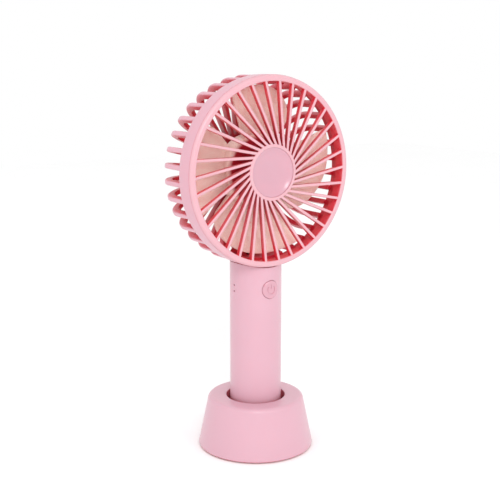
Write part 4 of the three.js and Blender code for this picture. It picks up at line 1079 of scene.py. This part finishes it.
def cage_fin(angle):
    """A fin that follows its path, with its outer edge rounded."""
    loops = []
    for point, inward, depth in fin_path():
        half = fin_half_thickness(point.x)
        soft = half * FIN_EDGE_SHARE
        outline = rounded([
            (0, -half, soft),
            (0, half, soft),
            (depth, half, FINE_EDGE),
            (depth, -half, FINE_EDGE),
        ], steps=4)
        loop = []
        for inset, side in outline:
            radius, y = point + inward * inset
            across = side * fin_half_thickness(radius) / half
            loop.append((radius, y, HEAD_Z + across))
        loops.append(loop)
    return turned(loft(loops), angle)


def cage_ring():
    """The plain ring behind the face, which the fins grow from."""
    front = FRONT_Y + RIM_DEPTH + SEAM
    return lathe(rounded([
        (RING_BORE_R, front, CRISP_EDGE),
        (RING_R, front, RING_SEAM_EDGE_R),
        (RING_R, RING_REAR_Y, SOFT_EDGE),
        (RING_BORE_R, RING_REAR_Y, FINE_EDGE),
    ]), on_head)


def motor_cup():
    """The cup round the motor, open to the back, and the flange that the fins run into."""
    flange_front = FIN_REAR_Y - FIN_REAR_DEPTH
    return lathe(rounded([
        (CUP_HOLE_R, CUP_FRONT_Y, CRISP_EDGE),
        (CUP_R, CUP_FRONT_Y, BROAD_EDGE),
        (CUP_R, flange_front, BROAD_EDGE),
        (FLANGE_R, flange_front, MILD_EDGE),
        (FLANGE_R, FIN_REAR_Y, EASY_EDGE),
        (CUP_BORE_R, FIN_REAR_Y, FINE_EDGE),
        (CUP_BORE_R, CUP_FRONT_Y + CUP_WALL),
        (CUP_HOLE_R, CUP_FRONT_Y + CUP_WALL),
    ]), on_head, MEDIUM)


def neck_plate():
    """The part of the cage's curved skin that closes it over the handle."""
    path = fin_path()
    outer = [point for point, inward, depth in path]
    inner = [point + inward * depth for point, inward, depth in path]
    skin = new_piece("neck", lathe(outer + inner[::-1], on_head))
    top = HEAD_Z - FIN_OUTER_R + FIN_CORNER_R
    bottom = HEAD_Z - RING_R - CUT_MARGIN
    footprint = rounded([(0, bottom), (HANDLE_R, bottom), (HANDLE_R, top), (0, top)])
    return combine(skin, [lathe(footprint, on_handle)], "INTERSECT")


def neck_spigot():
    """The tube that plugs the cage into the top of the handle."""
    low = CAGE_LOW.z
    top = HEAD_Z - FIN_OUTER_R + FIN_CORNER_R
    bore = INSERT_R - NECK_SPIGOT_WALL
    tube = rounded([(bore, low, MILD_EDGE), (INSERT_R, low, SOFT_EDGE), (INSERT_R, top), (bore, top)])
    spigot = new_piece("spigot", lathe(tube, on_handle))
    return combine(spigot, [head_envelope(-NECK_SKIN)], "DIFFERENCE")


def wire_web():
    """The flat web that covers the wires between the neck and the flange."""
    x = WEB_WIDTH / 2
    rear = FIN_REAR_Y - WEB_SETBACK
    return block(
        (-x, rear - WEB_THICKNESS, HEAD_Z - FIN_OUTER_R + FIN_CORNER_R),
        (x, rear, HEAD_Z - FLANGE_R + WEB_OVERLAP),
    )


def wire_way():
    """The wires' hole in the neck, and the notch that lets them through the flange."""
    bottom = HEAD_Z - RING_R - 2 * CUT_MARGIN
    hole_top = HEAD_Z - FIN_OUTER_R + NECK_HOLE_DEPTH
    hole = rod(NECK_HOLE_R, (0, NECK_HOLE_Y, bottom), (0, NECK_HOLE_Y, hole_top))
    x = NOTCH_WIDTH / 2
    inside = HEAD_Z - CUP_BORE_R + CUT_MARGIN
    outside = HEAD_Z - FLANGE_R
    notch = block(
        (-x, FIN_REAR_Y - NOTCH_DEPTH, outside - CUT_MARGIN),
        (x, FIN_REAR_Y - WEB_SETBACK, inside),
    )
    throat = block(
        (-x, FIN_REAR_Y - THROAT_DEPTH, outside + THROAT_INSET),
        (x, FIN_REAR_Y + CUT_MARGIN, inside),
    )
    return [hole, notch, throat]


def solid_of(piece):
    """A finished piece's mesh as a solid again; the piece is removed."""
    vertices = [vertex.co / MM for vertex in piece.data.vertices]
    faces = [list(polygon.vertices) for polygon in piece.data.polygons]
    bpy.data.objects.remove(piece)
    return vertices, faces


def rear_cage():
    fins = [cage_fin(270 + 360 * (i + 0.5) / FIN_COUNT) for i in range(FIN_COUNT)]
    piece = new_piece("rear_cage_fine", merged([cage_ring(), motor_cup()]))
    parts = [merged(fins), solid_of(neck_plate()), solid_of(neck_spigot()), wire_web()]
    combine(piece, parts, "UNION")
    return combine(piece, wire_way(), "DIFFERENCE")


def rear_cover():
    """The round cover that closes the motor's cup, with a low crown."""
    hollow_r = CUP_BORE_R - COVER_LIP
    front, rear = COVER_LOW.y, COVER_HIGH.y
    outline = rounded([
        (0, front + COVER_HOLLOW),
        (hollow_r, front + COVER_HOLLOW, FINE_EDGE),
        (hollow_r, front),
        (COVER_HIGH.x, front, CRISP_EDGE),
        (COVER_HIGH.x, rear - COVER_CROWN, COVER_EDGE_R),
        (COVER_HIGH.x * COVER_SHOULDER, rear - COVER_CROWN * COVER_SHOULDER_DROP, COVER_SHOULDER_EDGE_R),
        (0, rear),
    ])
    return new_piece("rear_motor_cover_fine", lathe(outline, on_head))


def make_head():
    finish_piece(front_grille(), "fan", "grille_pink", "front_grille")
    finish_piece(centre_badge(), "fan", "badge_pink", "centre_badge")
    finish_piece(rear_cage(), "fan", "body_pink", "rear_cage", finish="cage_pink")
    finish_piece(rear_cover(), "fan", "body_pink", "rear_motor_cover")


# ---------- impeller ----------


def blade_rear_edge(radius):
    """The rear edge's angle at a radius: it sweeps round to the front edge near the tip."""
    t = min(max((radius - BLADE_SWEEP_R) / (TIP_R - BLADE_SWEEP_R), 0), 1)
    return BLADE_REAR_EDGE + BLADE_SWEEP * (1 - math.sqrt(1 - t**2))


def blade_y(radius, turn):
    """How far behind the head's middle a blade is, at a radius and an angle in degrees."""
    out = (radius - IMPELLER_HUB_R) / (TIP_R - IMPELLER_HUB_R)
    front, rear = (lerp(root, tip, out) for root, tip in zip(BLADE_ROOT_Y, BLADE_TIP_Y))
    return lerp(front, rear, (BLADE_FRONT_EDGE - turn) / (BLADE_FRONT_EDGE - BLADE_REAR_EDGE))


def impeller_blade(angle):
    """A helical blade with a swept rear edge, and edges rounded over BLADE_EDGE."""
    root_r = IMPELLER_HUB_R - IMPELLER_HUB_WALL * BLADE_ROOT_SHARE
    loops = []
    for j in range(BLADE_STEPS_OUT + 1):
        radius = lerp(root_r, TIP_R, math.sin(math.pi / 2 * j / BLADE_STEPS_OUT))
        width = math.radians(BLADE_FRONT_EDGE - blade_rear_edge(radius)) * radius
        front_side, rear_side = [], []
        for i in range(BLADE_STEPS_ACROSS + 1):
            share = (1 - math.cos(math.pi * i / BLADE_STEPS_ACROSS)) / 2
            turn = lerp(blade_rear_edge(radius), BLADE_FRONT_EDGE, share)
            inset = min(share * width, (1 - share) * width, TIP_R - radius + BLADE_TIP_INSET)
            soft = min(max(inset / BLADE_EDGE, 0), 1)
            thickness = BLADE_THICKNESS * lerp(BLADE_EDGE_SHARE, 1, math.sqrt(1 - (1 - soft) ** 2))
            half = thickness / 2
            a = math.radians(turn + angle)
            middle = blade_y(radius, turn)
            front_side.append(on_head(radius, a, middle - half))
            rear_side.append(on_head(radius, a, middle + half))
        loops.append(front_side + rear_side[::-1])
    return loft(loops)


def impeller_hub():
    """The cup that the blades stand on, and the boss that grips the shaft."""
    wall_r = IMPELLER_HUB_R - IMPELLER_HUB_WALL
    face_rear = IMPELLER_HUB_FRONT_Y + IMPELLER_HUB_WALL
    boss_rear = CUP_FRONT_Y - IMPELLER_BOSS_GAP
    return lathe(rounded([
        (SHAFT_BORE_R, IMPELLER_BOSS_FRONT_Y, SHARP_EDGE),
        (IMPELLER_BOSS_R, IMPELLER_BOSS_FRONT_Y, SOFT_EDGE),
        (IMPELLER_BOSS_R, IMPELLER_HUB_FRONT_Y, EASY_EDGE),
        (IMPELLER_HUB_R, IMPELLER_HUB_FRONT_Y, IMPELLER_HUB_EDGE_R),
        (IMPELLER_HUB_R, IMPELLER_HIGH.y, MILD_EDGE),
        (wall_r, IMPELLER_HIGH.y, FINE_EDGE),
        (wall_r, face_rear, IMPELLER_HUB_INNER_EDGE_R),
        (IMPELLER_BOSS_R, face_rear, SOFT_EDGE),
        (IMPELLER_BOSS_R, boss_rear, FINE_EDGE),
        (SHAFT_BORE_R, boss_rear),
    ]), on_head)


def make_impeller():
    piece = new_piece("impeller_fine", impeller_hub())
    blades = [impeller_blade(360 * i / BLADE_COUNT) for i in range(BLADE_COUNT)]
    combine(piece, [merged(blades)], "UNION")
    finish_piece(piece, "impeller", "blade_peach", "impeller")


# ---------- studio ----------


def make_camera():
    data = bpy.data.cameras.new("camera")
    data.lens = CAMERA_LENS
    data.sensor_width = CAMERA_SENSOR
    camera = bpy.data.objects.new("camera", data)
    camera.location = CAMERA_PLACE
    camera.rotation_euler = [math.radians(90 - CAMERA_PITCH), 0, -math.radians(CAMERA_HEADING)]
    bpy.context.scene.collection.objects.link(camera)
    bpy.context.scene.camera = camera


def area_light(name, azimuth, elevation, distance, size, power):
    """A soft square light aimed at the fan. Azimuth 0 is in front of it, and positive towards +X."""
    data = bpy.data.lights.new(name, "AREA")
    data.size = size
    data.energy = power
    light = bpy.data.objects.new(name, data)
    a, e = math.radians(azimuth), math.radians(elevation)
    aim = Vector((0, 0, HEAD_Z * MM * AIM_HEIGHT))
    away = Vector((math.sin(a) * math.cos(e), -math.cos(a) * math.cos(e), math.sin(e)))
    light.location = aim + away * distance
    light.rotation_euler = away.to_track_quat("Z", "Y").to_euler()
    bpy.context.scene.collection.objects.link(light)


def make_floor():
    half = FLOOR_SIZE / 2
    corners = [(-half, -half, 0), (half, -half, 0), (half, half, 0), (-half, half, 0)]
    mesh = bpy.data.meshes.new("floor")
    mesh.from_pydata(corners, [], [(0, 1, 2, 3)])
    floor = bpy.data.objects.new("floor", mesh)
    bpy.context.scene.collection.objects.link(floor)
    look = Look("pale studio floor", 0.9)
    look.colour(look.mix(look.noise(8), (0.965, 0.965, 0.965), (0.985, 0.985, 0.985)))
    mesh.materials.append(look.material)


def make_studio():
    world = bpy.data.worlds.new("studio")
    world.use_nodes = True
    background = world.node_tree.nodes["Background"]
    background.inputs["Color"].default_value = (1, 1, 1, 1)
    background.inputs["Strength"].default_value = 1.0
    bpy.context.scene.world = world
    bpy.context.scene.view_settings.view_transform = "Standard"
    area_light("key", azimuth=-28, elevation=32, distance=1.3, size=0.4, power=4.4)
    area_light("accent", azimuth=2, elevation=20, distance=1.3, size=0.18, power=1.4)
    area_light("fill", azimuth=-80, elevation=25, distance=1.5, size=1.2, power=1)
    make_floor()
    make_camera()


dress_cad_nodes()
make_stand()
make_handle()
make_controls()
make_head()
make_impeller()
make_studio()
